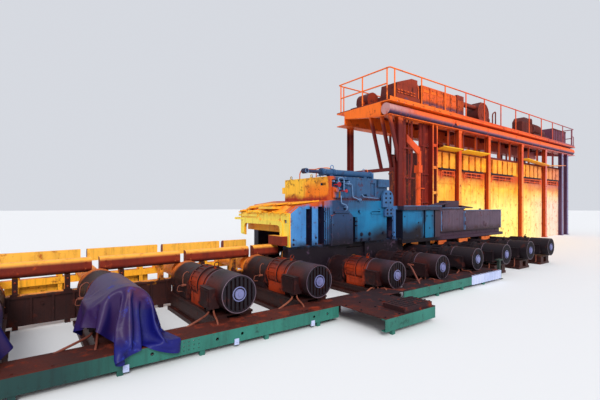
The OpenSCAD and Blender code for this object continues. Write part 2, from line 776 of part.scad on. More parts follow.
// Bearing blocks around the roller necks, on the sills
module roller_bearings() {
    color("#3a2a26") both_sides() for (x = driven_xs) difference() {
        union() {
            span([x - bearing_half, -guard_y + bearing_in, sill_of(x)],
                 [x + bearing_half, -guard_y + bearing_in + bearing_t, axis_of(x)]);
            bar_y([x, -guard_y + bearing_in, axis_of(x)], bearing_r, bearing_t);
        }
        bar_y([x, -guard_y, axis_of(x)], neck_r + fit, guard_t);
        span([x - bearing_half, -guard_y, 0], [x + bearing_half, -guard_y + guard_t, sill_of(x)]);
    }
}

// Sills, legs and window posts of the table
module table_frames() {
    color("#1f1212") both_sides() for (s = table_spans) {
        mid = (s[0] + s[1]) / 2;
        union() {
            span([s[0], -guard_y + frame_in, sill_of(mid) - sill_h],
                 [s[1], -guard_y + guard_t, sill_of(mid)]);
            for (x = driven_xs, side = [-1, 1]) if (x > s[0] && x < s[1]) {
                span([x + side * post_off - post_w / 2, -guard_y + 2 * frame_in,
                      in_stand(mid) ? bed_t : 0],
                     [x + side * post_off + post_w / 2, -guard_y + guard_t - frame_in,
                      sill_of(mid) - sill_h]);
                if (!in_stand(mid))
                    span([x + side * post_off - post_w / 2, -guard_y + frame_in, sill_z],
                         [x + side * post_off + post_w / 2, -guard_y + guard_t, pass_z]);
            }
        }
    }
}

// Rounded side guards, one over each bay, with the stop block at the stand's mouth
module side_guards() {
    color("#5a1c10") both_sides() for (s = concat(guard_bays(entry_ends), guard_bays(exit_ends)))
        translate([s[0], 0, pass_z]) rotate([90, 0, 90]) linear_extrude(s[1] - s[0]) guard_outline();
    color("#5a1c10") span([stop_x, -side_y + 60, guard_top], [face_x0, -guard_y + guard_t, guard_top + 190]);
}

module guard_outline() {
    union() {
        translate([-guard_y + guard_t / 2, guard_t / 2]) circle(d = guard_t, $fn = 48);
        translate([-guard_y + guard_t / 2, guard_h - guard_t / 2]) circle(d = guard_t, $fn = 48);
        translate([-guard_y, guard_t / 2]) square([guard_t, guard_h - guard_t]);
        translate([-guard_y + guard_t / 2, 0]) square([guard_t / 2, guard_h]);
    }
}

// Plates that close the table sides below the sills
module apron_plates() {
    color("#2a0f0d") both_sides() for (s = concat(guard_bays(entry_ends), guard_bays(exit_ends)))
        span([s[0] + apron_gap, -guard_y + frame_in - plate, apron_z],
             [s[1] - apron_gap, -guard_y + frame_in, sill_z - 10]);
}

// Round guards over the drive couplings, on saddles
module coupling_guards() {
    color("#451b14") for (x = driven_xs) difference() {
        z = axis_of(x) - coupling_drop;
        union() {
            bar_y([x, coupling_y0, z], coupling_r, coupling_y1(x) - coupling_y0);
            span([x - coupling_r, coupling_y0 + 60, bed_top(x)], [x + coupling_r, coupling_y1(x) - 60, z]);
        }
        bar_y([x, coupling_y0 - cut, axis_of(x)], coupling_hole_r, coupling_y1(x) - coupling_y0 + 2 * cut);
        span([x - bed_half, coupling_y0 - cut, 0], [x + bed_half, coupling_y1(x) + cut, bed_top(x)]);
    }
}

// Shafts from the motors through the couplings to the rollers
module drive_shafts() {
    color("#6a5f58") for (x = driven_xs) union() {
        bar_y([x, motor_face_y, axis_of(x)], shaft_r, -guard_y - motor_face_y);
        bar_y([x, coupling_y0 + 20, axis_of(x)], coupling_hole_r - hub_gap,
            coupling_y1(x) - coupling_y0 - 40);
    }
}

// Motor bodies with their drive end shields, feet and eye lugs
module motor_bodies() {
    color("#4a2018") for (x = driven_xs) union() {
        bar_y([x, cowl_y1, axis_of(x)], body_r, motor_face_y - cowl_y1);
        bar_y([x, motor_face_y - shield[0], axis_of(x)], motor_r, shield[0]);
        bar_y([x, motor_face_y - shield[2], axis_of(x)], motor_r + 8, shield[0]);
        bar_y([x, cowl_y1 + shield[1], axis_of(x)], motor_r, shield[0]);
        for (side = [-1, 1])
            span([x + side * foot_x - foot_half, cowl_y1 + foot_in, bed_top(x)],
                 [x + side * foot_x + foot_half, motor_face_y - foot_in, axis_of(x) - foot_drop]);
        span([x - eye_half, eye_y[0], axis_of(x) + body_r - 20], [x + eye_half, eye_y[1],
            axis_of(x) + body_r + eye_h]);
    }
}

// Fan cowls with their grille slots and hub discs
module motor_cowls() {
    color("#2c1d24") for (x = driven_xs) translate([x, -motor_y, axis_of(x)]) difference() {
        bar_y([0, 0, 0], motor_r, cowl_l);
        difference() {
            union() for (i = [-grille_half : grille_half])
                span([i * grille_pitch - grille_slot / 2, -cut, -motor_r],
                     [i * grille_pitch + grille_slot / 2, grille_depth, motor_r]);
            bar_y([0, -2 * cut, 0], hub_r, grille_depth + 4 * cut);
            difference() {
                bar_y([0, -2 * cut, 0], motor_r + 20, grille_depth + 4 * cut);
                bar_y([0, -3 * cut, 0], motor_r - grille_rim, grille_depth + 6 * cut);
            }
        }
        difference() {
            bar_y([0, -cut, 0], hub_groove[0], plate);
            bar_y([0, -2 * cut, 0], hub_groove[1], 2 * plate);
        }
    }
}

// Terminal boxes on the motors' entry sides
module motor_boxes() {
    color("#8a3a1c") for (x = driven_xs) difference() {
        span([x - motor_r - terminal_w, terminal_y[0], axis_of(x) + terminal_z[0]],
             [x - motor_r + foot_half, terminal_y[1], axis_of(x) + terminal_z[1]]);
        bar_y([x, terminal_y[0] - cut, axis_of(x)], motor_r + fit, terminal_y[1] - terminal_y[0] + 2 * cut);
    }
}

// Beds under the motors and couplings
module motor_beds() {
    color("#231311") for (x = driven_xs) union() {
        span([x - bed_half, kerb_y1, 0], [x + bed_half, coupling_y1(x), bed_foot]);
        for (side = [-1, 1])
            span([x + side * foot_x - rib_half, kerb_y1, bed_foot],
                 [x + side * foot_x + rib_half, coupling_y1(x), bed_top(x) - bed_plate_t]);
        span([x - bed_half + bed_plate_t, kerb_y1, bed_top(x) - bed_plate_t],
             [x + bed_half - bed_plate_t, coupling_y1(x), bed_top(x)]);
    }
}

// A kerb channel with its web outwards
module kerb_length(x0, x1, y0) {
    span([x0, y0, kerb_z - kerb_h], [x1, y0 + web_t, kerb_z - plate]);
    span([x0, y0, kerb_z - kerb_h], [x1, y0 + flange_w, kerb_z - kerb_h + flange_t]);
    span([x0, y0, kerb_z - plate - flange_t], [x1, y0 + flange_w, kerb_z - plate]);
    for (x = [x0 + leg_in : leg_pitch : x1 - leg_in])
        span([x, y0 + leg_w2[1], 0], [x + leg_w2[0], y0 + leg_w2[2], kerb_z - kerb_h]);
}

// The kerb channels with their web holes and bolted splices
module kerb_channel() {
    color("#3c9a7a") difference() {
        union() {
            kerb_length(table_x0, kerb_gap[0], -kerb_y);
            kerb_length(kerb_gap[1], kerb_end, -kerb_y);
            kerb_length(step_x[0], step_x[1], -step_y);
        }
        for (x = kerb_holes)
            bar_y([x, -kerb_y - cut, kerb_z - kerb_h / 2], kerb_hole_r, web_t + 2 * cut);
        for (x = splice_xs, i = [0 : 4], up = [-1, 0, 1])
            translate([x + i * splice_pitch, -kerb_y - cut, kerb_z - kerb_h / 2 + up * splice_pitch * 0.8])
                rotate([-90, 0, 0]) cylinder(r = splice_hole_r, h = web_t + 2 * cut, $fn = 12);
    }
}

// The rusty plate between the kerb channel and the motors, notched under the feed motors
module kerb_plate() {
    color("#8f3a1c") difference() {
        union() {
            span([table_x0, -kerb_y, kerb_z - plate], [kerb_end, kerb_y1, kerb_z]);
            for (x = [table_x0 : leg_pitch : kerb_end - leg_w2[0]])
                span([x, kerb_y1 - leg_w2[2], 0], [x + leg_w2[0], kerb_y1, kerb_z - plate]);
        }
        for (x = feed_xs)
            span([x - notch_half, notch_y, -cut], [x + notch_half, kerb_y1 + cut, kerb_z + cut]);
    }
}

// The step that bridges the gap of the kerb, with its raised box
module step_plate() {
    color("#3a1f1c") union() {
        span([step_x[0], -step_y, kerb_z - plate], [step_x[1], -kerb_y, kerb_z]);
        span([step_box[0][0], step_box[0][1], kerb_z],
             [step_box[1][0], step_box[1][1], kerb_z + step_box[2]]);
    }
}

// Outline of the sheet over a motor in X and Z, drawn in by a margin
function sheet_outline(m) = [
    [-sheet_w / 2 + m, 0], [-sheet_w / 2 + m, kerb_z + fit], [-sheet_w * 0.38 + m, sheet_side_z],
    [-sheet_w * 0.27 + m, sheet_top - sheet_shoulder - m], [-sheet_w * 0.1, sheet_top - m],
    [sheet_w * 0.1, sheet_top - m], [sheet_w * 0.27 - m, sheet_top - sheet_shoulder - m],
    [sheet_w * 0.38 - m, sheet_side_z], [sheet_w / 2 - m, kerb_z + fit], [sheet_w / 2 - m, 0]];

// The slope of its front in Y and Z, out over the kerb, drawn in by a margin
function sheet_slope(m) = [
    [-kerb_y - sheet_front[0] + m, sheet_knee_z[0]],
    [-kerb_y + sheet_front[1] + m, sheet_knee_z[1]],
    [-kerb_y + sheet_front[2] + m, sheet_top + sheet_front[0]]];

// The cloth thrown over one motor, open below and behind, its hem over the kerb and one corner on the floor
module motor_sheet() {
    back = -motor_y + sheet_l;
    color("#2b3a9c") translate([sheet_x, 0, 0]) union() {
        difference() {
            intersection() {
                prism_y(-kerb_y - 2 * sheet_front[0], back + cut, sheet_outline(0));
                prism_x(-sheet_w, sheet_w, concat(
                    [[-kerb_y - fit, sheet_hem_z], [-kerb_y - sheet_front[0], sheet_hem_z]], sheet_slope(0),
                    [[back, sheet_top + sheet_front[0]], [back, kerb_z + fit],
                     [-kerb_y - fit, kerb_z + fit]]));
            }
            intersection() {
                prism_y(-kerb_y - 2 * sheet_front[0], back + 2 * cut, sheet_outline(sheet_t));
                prism_x(-sheet_w, sheet_w, concat(
                    [[-kerb_y - sheet_front[0] + sheet_t, kerb_z - cut]], sheet_slope(sheet_t),
                    [[back + cut, sheet_top + sheet_front[0]], [back + cut, kerb_z - cut]]));
            }
        }
        span([sheet_tail[0], -kerb_y - sheet_front[0], 0],
             [sheet_tail[1], -kerb_y - fit - cut, sheet_hem_z + sheet_tail[2]]);
    }
}

// An H column standing on the floor
module h_column(x, y) {
    union() {
        span([x, y, 0], [x + column_w, y + column_web, girder_z]);
        span([x, y + column_w - column_web, 0], [x + column_w, y + column_w, girder_z]);
        span([x + (column_w - column_web) / 2, y, 0],
             [x + (column_w + column_web) / 2, y + column_w, girder_z]);
        span([x - column_foot[0], y, 0], [x + column_w + column_foot[0], y + column_w, column_foot[1]]);
    }
}

// Columns of the gallery, in front of the chamber walls
module gallery_columns() {
    color("#b5401a") for (x = column_xs) {
        h_column(x, column_y);
        h_column(x, wall_back_y);
    }
}

// The battened column at the wall's left end
module battened_column() {
    color("#e2571e") union() {
        for (x = [ladder_x, ladder_x + ladder_w - ladder_post])
            span([x, column_y, 0], [x + ladder_post, wall_face_y - fit, girder_z]);
        for (z = ladder_zs)
            span([ladder_x, column_y + 10, z],
                 [ladder_x + ladder_w, column_y + ladder_post, z + ladder_bar_h]);
    }
}

// One edge girder: flanges and the web behind the duct
module girder() {
    span([gallery_x, gallery_y, deck_z - 2 * flange], [gallery_x1, gallery_y + girder_w, deck_z - flange]);
    span([gallery_x, gallery_y, girder_z], [gallery_x1, gallery_y + girder_w, girder_z + flange]);
    span([gallery_x, gallery_y + girder_w - girder_web, girder_z],
         [gallery_x1, gallery_y + girder_w, deck_z - flange]);
}

// The girder along the near edge, its twin at the back, and the tapered beams across both ends
module edge_girder() {
    color("#e24e16") union() {
        girder();
        translate([0, 2 * gallery_y + gallery_d, 0]) mirror([0, 1, 0]) girder();
        for (x = [gallery_x, gallery_x1 - end_beam_w])
            prism_x(x, x + end_beam_w, [
                [gallery_y + girder_w - girder_web, deck_z - flange],
                [gallery_y + girder_w - girder_web, girder_z],
                [end_beam_y[0], girder_z], [end_beam_y[1], end_beam_z(end_beam_y[1])],
                [end_beam_y[1], deck_z - flange]]);
    }
}

// The round duct that lies in the near girder, with its joint rings and the boss
module edge_duct() {
    color("#a06a70") union() {
        bar_x([gallery_x + 20, duct_y, duct_z], duct_r, gallery_l - 40);
        for (x = ring_xs)
            bar_x([x, duct_y, duct_z], duct_r + ring_h, ring_l);
        bar_y([boss_x, gallery_y - 40, duct_z], 90, duct_r);
    }
}

// Deck plate on its cross beams
module gallery_deck() {
    color("#8a2f16") union() {
        span([gallery_x, gallery_y, deck_z - flange], [gallery_x1, gallery_y1, deck_z]);
        for (x = column_xs)
            span([x, gallery_y + girder_w, deck_z - 200], [x + 120, gallery_y1 - girder_w, deck_z - flange]);
    }
}

// A row of handrail posts with its rails, along X
module rail_run(l, bays, mid) {
    union() {
        for (i = [0 : bays])
            bar_z([i * l / bays, 0, 0], rail_r, rail_h - rail_r);
        bar_x([0, 0, rail_h - rail_r], rail_r, l);
        if (mid) bar_x([0, 0, rail_h / 2], rail_r, l);
    }
}

module handrails() {
    color("#c2401c") {
        for (y = [gallery_y + rail_in, gallery_y1 - rail_in])
            translate([gallery_x + rail_x0, y, deck_z]) rail_run(gallery_l - 2 * rail_x0, rail_bays, false);
        for (x = [gallery_x + rail_in, gallery_x1 - rail_in])
            translate([x, gallery_y + 3 * rail_in, deck_z]) rotate([0, 0, 90])
                rail_run(gallery_d - 6 * rail_in, 2, true);
    }
}

// The plain lower wall of the chamber under the gallery
module lower_wall() {
    color("#f3c13a") difference() {
        span([wall_x0, wall_face_y, 0], [wall_x1, wall_back_y, wall_z]);
        span([wall_x0 + wall_t, wall_face_y + wall_t, -cut],
             [wall_x1 - wall_t, wall_back_y - wall_t, wall_z + cut]);
    }
}

// Raised panels above the lower wall
module panel_wall() {
    color("#f08a20") union() {
        difference() {
            span([wall_x0, wall_face_y, wall_z], [wall_x1, wall_back_y, panel_top]);
            span([wall_x0 + wall_t, wall_face_y + wall_t, wall_z - cut],
                 [wall_x1 - wall_t, wall_back_y - wall_t, panel_top + cut]);
        }
        for (x = [wall_x0 + rib_in : rib_pitch : wall_x1 - rib_w]) if (clear_of_columns(x, x + rib_w))
            span([x, wall_face_y - 2 * rib_in, wall_z + rib_in],
                 [x + rib_w, wall_face_y, panel_top - rib_in]);
    }
}

// Open frame between the panels and the girder
module window_frame() {
    color("#c9481a") for (y = [wall_face_y, wall_back_y - window_post]) union() {
        span([wall_x0, y, panel_top], [wall_x1, y + window_post, panel_top + window_rail]);
        for (i = [0 : window_bays]) {
            x = wall_x0 + i * (wall_x1 - wall_x0 - window_post) / window_bays;
            span([x, y, panel_top + window_rail], [x + window_post, y + window_post, girder_z]);
        }
    }
}

// Small canopies over the panels: two that rise outwards, and two bent ones that slope along the wall
module canopies() {
    color("#ffae2e") {
        for (c = canopies_at)
            prism_x(c[0], c[1], [
                [wall_face_y, panel_top + canopy_t], [wall_face_y, panel_top + 2 * canopy_t],
                [wall_face_y - canopy_d, panel_top + canopy_t + canopy_rise],
                [wall_face_y - canopy_d, panel_top + canopy_rise]]);
        for (c = bent_at)
            prism_y(wall_face_y - canopy_d, wall_face_y, [
                [c[0], panel_top + c[2]], [c[1], panel_top + c[3]],
                [c[1], panel_top + c[3] + canopy_t], [c[0], panel_top + c[2] + canopy_t]]);
    }
}

// Braces under the gallery's left end, with the girt that takes their feet
module knee_braces() {
    color("#a83a1a") union() {
        for (y = brace_ys) {
            prism_y(y, y + brace_w, [
                [brace_foot[0], brace_low_z], [brace_foot[1], brace_low_z], [brace_top[1], girder_z],
                [brace_top[0], girder_z]]);
            if (y > end_beam_y[0])
                prism_x(brace_top[0], brace_top[1], [
                    [y, girder_z], [y + brace_w, girder_z], [y + brace_w, end_beam_z(y + brace_w)],
                    [y, end_beam_z(y)]]);
        }
        span([brace_foot[0], column_y + column_w, brace_low_z - girt_h],
             [brace_foot[1], wall_back_y, brace_low_z]);
    }
    color("#a83a1a") prism_y(brace_y0, brace_y0 + brace_w, [
        [column_xs[0], brace_z(0)], [column_xs[0], brace_z(1)], [brace_top[1], girder_z],
        [brace_top[0], girder_z]]);
}

// Standing pipes beside the first column, and the tall plate before the battened column
module pipe_columns() {
    color("#5a1c16") {
        for (i = [0 : len(pipe_xs) - 1])
            bar_z([pipe_xs[i], wall_face_y, 0], pipe_rs[i], girder_z);
        span([side_panel_x0, wall_face_y, 0], [ladder_x - fit, wall_face_y + wall_t, girder_z]);
    }
}

// The lift cylinder beside the pipes, with its head box, rod and chute plate
module lift_cylinder() {
    color("#e05a1e") union() {
        bar_z([lift_x, lift_y, 0], lift_r, lift_z);
        span([lift_x - lift_box[0], lift_y - lift_box[0], lift_z],
             [lift_x + lift_box[0], lift_y + lift_box[0], lift_z + lift_box[1]]);
        bar_z([lift_x + 60, lift_y, lift_z + lift_box[1]], lift_rod[0] + 20, lift_rod[1]);
        span([lift_x - lift_foot[0], lift_y - lift_foot[0], 0],
             [lift_x + lift_foot[0], lift_y + lift_foot[0], lift_foot[1]]);
        bar_x([lift_x, lift_y, lift_z - lift_arm[1]], lift_arm[0], side_panel_x0 + 200 - lift_x);
        prism_y(chute_y[0], chute_y[1], chute);
    }
}

// Red control cabinet on the deck, with its doors and the dark box at its end
module deck_cabinet() {
    color("#a8401c") union() {
        span([cabinet_x, cabinet_y[0], deck_z], [cabinet_x + cabinet_l, cabinet_y[1], deck_z + cabinet_h]);
        for (i = [0 : cabinet_doors - 1])
            span([cabinet_x + i * cabinet_l / cabinet_doors + door_gap, cabinet_y[0] - door_gap / 2,
                  deck_z + door_edge],
                 [cabinet_x + (i + 1) * cabinet_l / cabinet_doors, cabinet_y[0],
                  deck_z + cabinet_h - door_edge / 2]);
    }
}

// The fan behind the left end of the deck, with its motor
module deck_fan(x, y) {
    union() {
        span([x, y, deck_z], [x + fan_bed[0], y + fan_bed[1], deck_z + fan_bed[2]]);
        bar_y([x + fan_bed[0] / 2, y + fan_in, deck_z + fan_r + fan_lift], fan_r, fan_bed[1] - 2 * fan_in);
        bar_x([x, y + fan_bed[1] / 2, deck_z + fan_bed[2] + fan_motor_r - cradle],
            fan_motor_r, fan_bed[0] / 2);
    }
}

// The tall hooded machine before the cabinet
module deck_hood(x, y) {
    union() {
        span([x, y, deck_z], [x + hood_bed[0], y + hood_bed[1], deck_z + hood_bed[2]]);
        prism_y(y + hood_in, y + hood_bed[1] - hood_in, [
            [x + hood_in, deck_z + hood_bed[2]], [x + hood_bed[0] - hood_in, deck_z + hood_bed[2]],
            [x + hood_bed[0] - hood_in, deck_z + hood_h], [x + hood_bed[0] * 0.7, deck_z + hood_h],
            [x + 2 * hood_in, deck_z + hood_h * 0.75]]);
    }
}

// A round blower on its bed, with its motor beside it
module deck_drum(x, y) {
    union() {
        span([x, y, deck_z], [x + drum_bed[0], y + drum_bed[1], deck_z + drum_bed[2]]);
        bar_y([x + drum_at[0], y + drum_in, deck_z + drum_at[1]], drum_r, drum_bed[1] - 2 * drum_in);
        bar_x([x + drum_at[0], y + drum_bed[1] / 2, deck_z + drum_bed[2] + drum_motor_r - cradle],
            drum_motor_r, drum_bed[0] - drum_at[0]);
    }
}

// A dark box with a slanted corner
module deck_bin(x, y) {
    prism_y(y, y + bin_size[1], [
        [x, deck_z], [x + bin_size[0], deck_z], [x + bin_size[0], deck_z + bin_size[2]],
        [x + bin_slant, deck_z + bin_size[2]], [x, deck_z + bin_size[2] - bin_slant]]);
}

// A pump with its motor, lying on one bed
module deck_pump(x, y) {
    union() {
        span([x, y, deck_z], [x + pump_bed[0], y + pump_bed[1], deck_z + pump_bed[2]]);
        bar_x([x + pump_in, y + pump_bed[1] / 2, deck_z + pump_bed[2] + pump_rs[0] - cradle],
            pump_rs[0], pump_bed[0] / 2);
        bar_x([x + pump_bed[0] / 2, y + pump_bed[1] / 2, deck_z + pump_bed[2] + pump_rs[1] - cradle],
            pump_rs[1], pump_bed[0] / 2 - pump_in);
    }
}

// Blowers, pump sets and boxes on the deck, each on its own bed
module deck_blowers() {
    color("#2a1512") {
        deck_fan(deck_xs[0], gallery_y1 - fan_bed[1] - deck_back);
        deck_hood(deck_xs[1], gallery_y + deck_in);
        span([end_box_x, gallery_y + deck_in, deck_z],
             [end_box_x + end_box[0], gallery_y + deck_in + end_box[1], deck_z + end_box[2]]);
        bar_x([end_box_x + end_box[0], gallery_y + deck_in + end_box[1] / 2, deck_z + end_duct[1]],
            end_duct[0], deck_xs[2] + drum_at[0] - end_box_x - end_box[0]);
        deck_drum(deck_xs[2], gallery_y + deck_in);
        deck_bin(deck_xs[3], gallery_y + deck_in);
        deck_pump(deck_xs[4], gallery_y + deck_in);
        span([deck_xs[5], gallery_y + deck_in, deck_z],
             [deck_xs[5] + last_box[0], gallery_y + deck_in + last_box[1], deck_z + last_box[2]]);
    }
}

bed_plate();
housing_near();
housing_far();
mill_rolls();
roll_chocks();
adjusting_screws();
entry_walls();
exit_walls();
gear_case();
gear_covers();
top_case();
balance_cylinder();
valve_block();
entry_hood();
exit_case();
exit_lid();
exit_boxes();
case_pedestals();
table_rollers();
roller_bearings();
table_frames();
side_guards();
apron_plates();
coupling_guards();
drive_shafts();
motor_bodies();
motor_cowls();
motor_boxes();
motor_beds();
kerb_channel();
kerb_plate();
step_plate();
motor_sheet();
gallery_columns();
battened_column();
edge_girder();
edge_duct();
gallery_deck();
handrails();
lower_wall();
panel_wall();
window_frame();
canopies();
knee_braces();
pipe_columns();
lift_cylinder();
deck_cabinet();
deck_blowers();
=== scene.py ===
"""Looks of the hot rolling mill stand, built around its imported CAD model."""
import json
import math
import random

import bmesh
import bpy
from mathutils import Matrix, Vector


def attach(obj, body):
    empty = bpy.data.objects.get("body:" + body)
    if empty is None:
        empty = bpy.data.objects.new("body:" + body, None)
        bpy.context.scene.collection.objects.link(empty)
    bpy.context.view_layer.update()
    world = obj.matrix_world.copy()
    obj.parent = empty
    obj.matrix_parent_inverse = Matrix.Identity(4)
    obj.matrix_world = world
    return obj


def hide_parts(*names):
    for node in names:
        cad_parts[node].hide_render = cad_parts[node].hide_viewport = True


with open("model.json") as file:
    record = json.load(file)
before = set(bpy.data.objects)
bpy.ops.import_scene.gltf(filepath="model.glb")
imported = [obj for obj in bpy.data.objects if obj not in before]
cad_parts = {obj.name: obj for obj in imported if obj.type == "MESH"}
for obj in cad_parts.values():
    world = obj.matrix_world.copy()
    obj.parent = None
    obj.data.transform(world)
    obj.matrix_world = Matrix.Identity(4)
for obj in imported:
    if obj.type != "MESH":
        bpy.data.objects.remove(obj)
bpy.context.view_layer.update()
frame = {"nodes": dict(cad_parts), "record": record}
NODES = frame["nodes"]
random.seed(7)

# The camera, from the photograph's two vanishing points
CAMERA_AT = Vector((-6.2, -7.43, 1.78))
CAMERA_AHEAD = Vector((0.6, 0.8, 0.0))
HORIZON_SHIFT = 0.01
LENS_MM = 22.32
CAMERA_REACH = 400

# Driving sizes of the drives and the table, in metres
TOP_Z = 2.45
ENTRY_XS = (-6.65, -5.25, -3.85, -2.45)
FEED_XS = (-0.55, 0.95)
EXIT_XS = (2.4, 3.85, 5.3, 6.75)
AXIS_Z = {x: z for xs, z in ((ENTRY_XS, 0.595), (FEED_XS, 0.48), (EXIT_XS, 0.53)) for x in xs}
SHEETED_X = -5.25
MOTOR_R = 0.26
FAN_Y = -2.94
COWL_Y = -2.40
FACE_Y = -1.78
SHIELD_YS = (-2.10, -1.82)
BED_DROP = 0.29
TERMINAL_YS = (-2.74, -2.38)
TERMINAL_X = -0.35
COUPLING_DROP = 0.06
COUPLING_R = 0.27
KERB_Y = -3.2
KERB_TOP = 0.25
KERB_BOTTOM = 0.065
KERB_END_X = 3.0
GUARD_Y = -0.78
SIDE_Y = -1.19

# The chamber under the gallery
WALL_Y = 1.31
WALL_BACK_Y = 3.56
WALL_XS = (7.08, 20.5)
COLUMN_XS = (4.63, 8.603, 11.126, 14.606, 17.651, 20.102, 20.957)
COLUMN_BOLT_Y = 1.11

# Ways that bolts, rings and rods face
NEAR = (0, -1, 0)
FAR = (0, 1, 0)
UP = (0, 0, 1)
BACK = (-1, 0, 0)
AHEAD = (1, 0, 0)


def add_object(name, data):
    made = bpy.data.objects.new(name, data)
    bpy.context.scene.collection.objects.link(made)
    return made


def make_camera():
    data = bpy.data.cameras.new("photo_camera")
    data.lens = LENS_MM
    data.shift_y = HORIZON_SHIFT
    data.clip_end = CAMERA_REACH
    camera = add_object("photo_camera", data)
    camera.location = CAMERA_AT
    camera.rotation_mode = "QUATERNION"
    camera.rotation_quaternion = CAMERA_AHEAD.to_track_quat("-Z", "Y")
    bpy.context.scene.camera = camera


# Old paint, rust and soot shine little
SPECULAR = 0.28
SOOT = (26, 16, 20)
ZONE_WANDER = 0.35
RUN_STRETCH = (3.2, 3.2, 0.35)
BUMP = {"Strength": 0.25, "Distance": 0.01}
MATERIALS = {}


class Nodes:
    """Builds one procedural material, node by node."""

    def __init__(self, name):
        self.material = bpy.data.materials.new(name)
        self.material.use_nodes = True
        self.tree = self.material.node_tree
        self.tree.nodes.clear()
        self.out = self.tree.nodes.new("ShaderNodeOutputMaterial")
        geometry = self.tree.nodes.new("ShaderNodeNewGeometry")
        self.place = geometry.outputs["Position"]
        self.places = self.add("ShaderNodeSeparateXYZ", {0: self.place}).outputs
        self.facing = self.add("ShaderNodeSeparateXYZ", {0: geometry.outputs["Normal"]}).outputs

    def put(self, socket, value):
        if isinstance(value, bpy.types.NodeSocket):
            self.tree.links.new(value, socket)
        else:
            socket.default_value = value

    def add(self, kind, inputs=None, **settings):
        made = self.tree.nodes.new(kind)
        for key, value in settings.items():
            setattr(made, key, value)
        for key, value in (inputs or {}).items():
            self.put(made.inputs[key], value)
        return made

    def math(self, operation, a, b, clamp=False):
        return self.add("ShaderNodeMath", {0: a, 1: b}, operation=operation, use_clamp=clamp).outputs[0]

    def noise(self, scale, detail, rough=0.55, vector=None):
        inputs = {"Vector": vector or self.place, "Scale": scale, "Detail": detail, "Roughness": rough}
        return self.add("ShaderNodeTexNoise", inputs).outputs["Fac"]

    def ramp(self, value, low, high):
        inputs = {"Value": value, "From Min": low, "From Max": high}
        return self.add("ShaderNodeMapRange", inputs, clamp=True).outputs["Result"]

    def mix(self, share, a, b):
        made = self.add("ShaderNodeMix", data_type="RGBA")
        self.put(made.inputs[0], share)
        self.put(made.inputs[6], a)
        self.put(made.inputs[7], b)
        return made.outputs[2]

    def zone(self, limits, wander):
        """Share of a zone at each place: a product of ramps, each from where it is none to where it
        is full. X, Y and Z are places in metres, and x, y and z the way a surface faces, -1 to 1."""
        share = None
        for key, (none, full) in limits.items():
            if key.isupper():
                value = self.math("ADD", self.places[key], wander)
            else:
                value = self.facing[key.upper()]
            part = self.ramp(value, none, full)
            share = part if share is None else self.math("MULTIPLY", share, part)
        return share

    def finish(self, colour, rough, metallic, height=None):
        shader = self.add("ShaderNodeBsdfPrincipled")
        self.put(shader.inputs["Base Color"], colour)
        self.put(shader.inputs["Roughness"], rough)
        self.put(shader.inputs["Metallic"], metallic)
        self.put(shader.inputs["Specular IOR Level"], SPECULAR)
        if height is not None:
            bump = self.add("ShaderNodeBump", {"Height": height, **BUMP})
            self.put(shader.inputs["Normal"], bump.outputs[0])
        self.put(self.out.inputs["Surface"], shader.outputs[0])
        return self.material


def rgb(colour):
    """A colour as it shows on screen, from 0 to 255, in the linear values that shaders use."""
    shares = [value / 255 for value in colour]
    linear = [share / 12.92 if share <= 0.04045 else ((share + 0.055) / 1.055) ** 2.4 for share in shares]
    return (*linear, 1.0)


def tint_or_light(red, green, blue, **limits):
    """A zone of another colour, also used for painted light and shade, with the ramps that limit it, as
    Nodes.zone takes them.
    """
    return rgb((red, green, blue)), limits


def paint(name, main, faded, rust, rust_share, streak, *zones, metallic=0.0, rough=0.55, soot=SOOT):
    """Adds an old paint in two tones, with zones of other colours and of painted light and shade, rust
    patches, streaks and flecks. On the tarpaulin the rust patches are painted highlights.
    """
    n = Nodes(name)
    tone = n.ramp(n.noise(1.3, 5), 0.35, 0.65)
    colour = n.mix(tone, rgb(main), rgb(faded))
    wander = n.math("MULTIPLY", n.math("SUBTRACT", n.noise(2.6, 5, 0.65), 0.5), ZONE_WANDER)
    for other, limits in zones:
        colour = n.mix(n.zone(limits, wander), colour, other)
    patch = n.ramp(n.noise(5.0, 8, 0.7), 0.66 - rust_share * 0.3, 0.76 - rust_share * 0.3)
    upright = n.add("ShaderNodeVectorMath", {0: n.place, 1: RUN_STRETCH}, operation="MULTIPLY").outputs[0]
    runs = n.ramp(n.noise(4.0, 4, 0.6, upright), 0.5, 0.8)
    grime = n.math("MULTIPLY", runs, streak, True)
    fleck = n.ramp(n.noise(28.0, 5, 0.7), 0.6, 0.72)
    colour = n.mix(grime, colour, rgb(soot))
    colour = n.mix(n.math("MULTIPLY", patch, 0.8), colour, rgb(rust))
    colour = n.mix(n.math("MULTIPLY", fleck, 0.35), colour, rgb(soot))
    roughness = n.math("ADD", n.math("MULTIPLY", patch, 0.3), rough)
    coarse = n.noise(40.0, 3)
    MATERIALS[name] = n.finish(colour, roughness, metallic, n.math("ADD", coarse, patch))
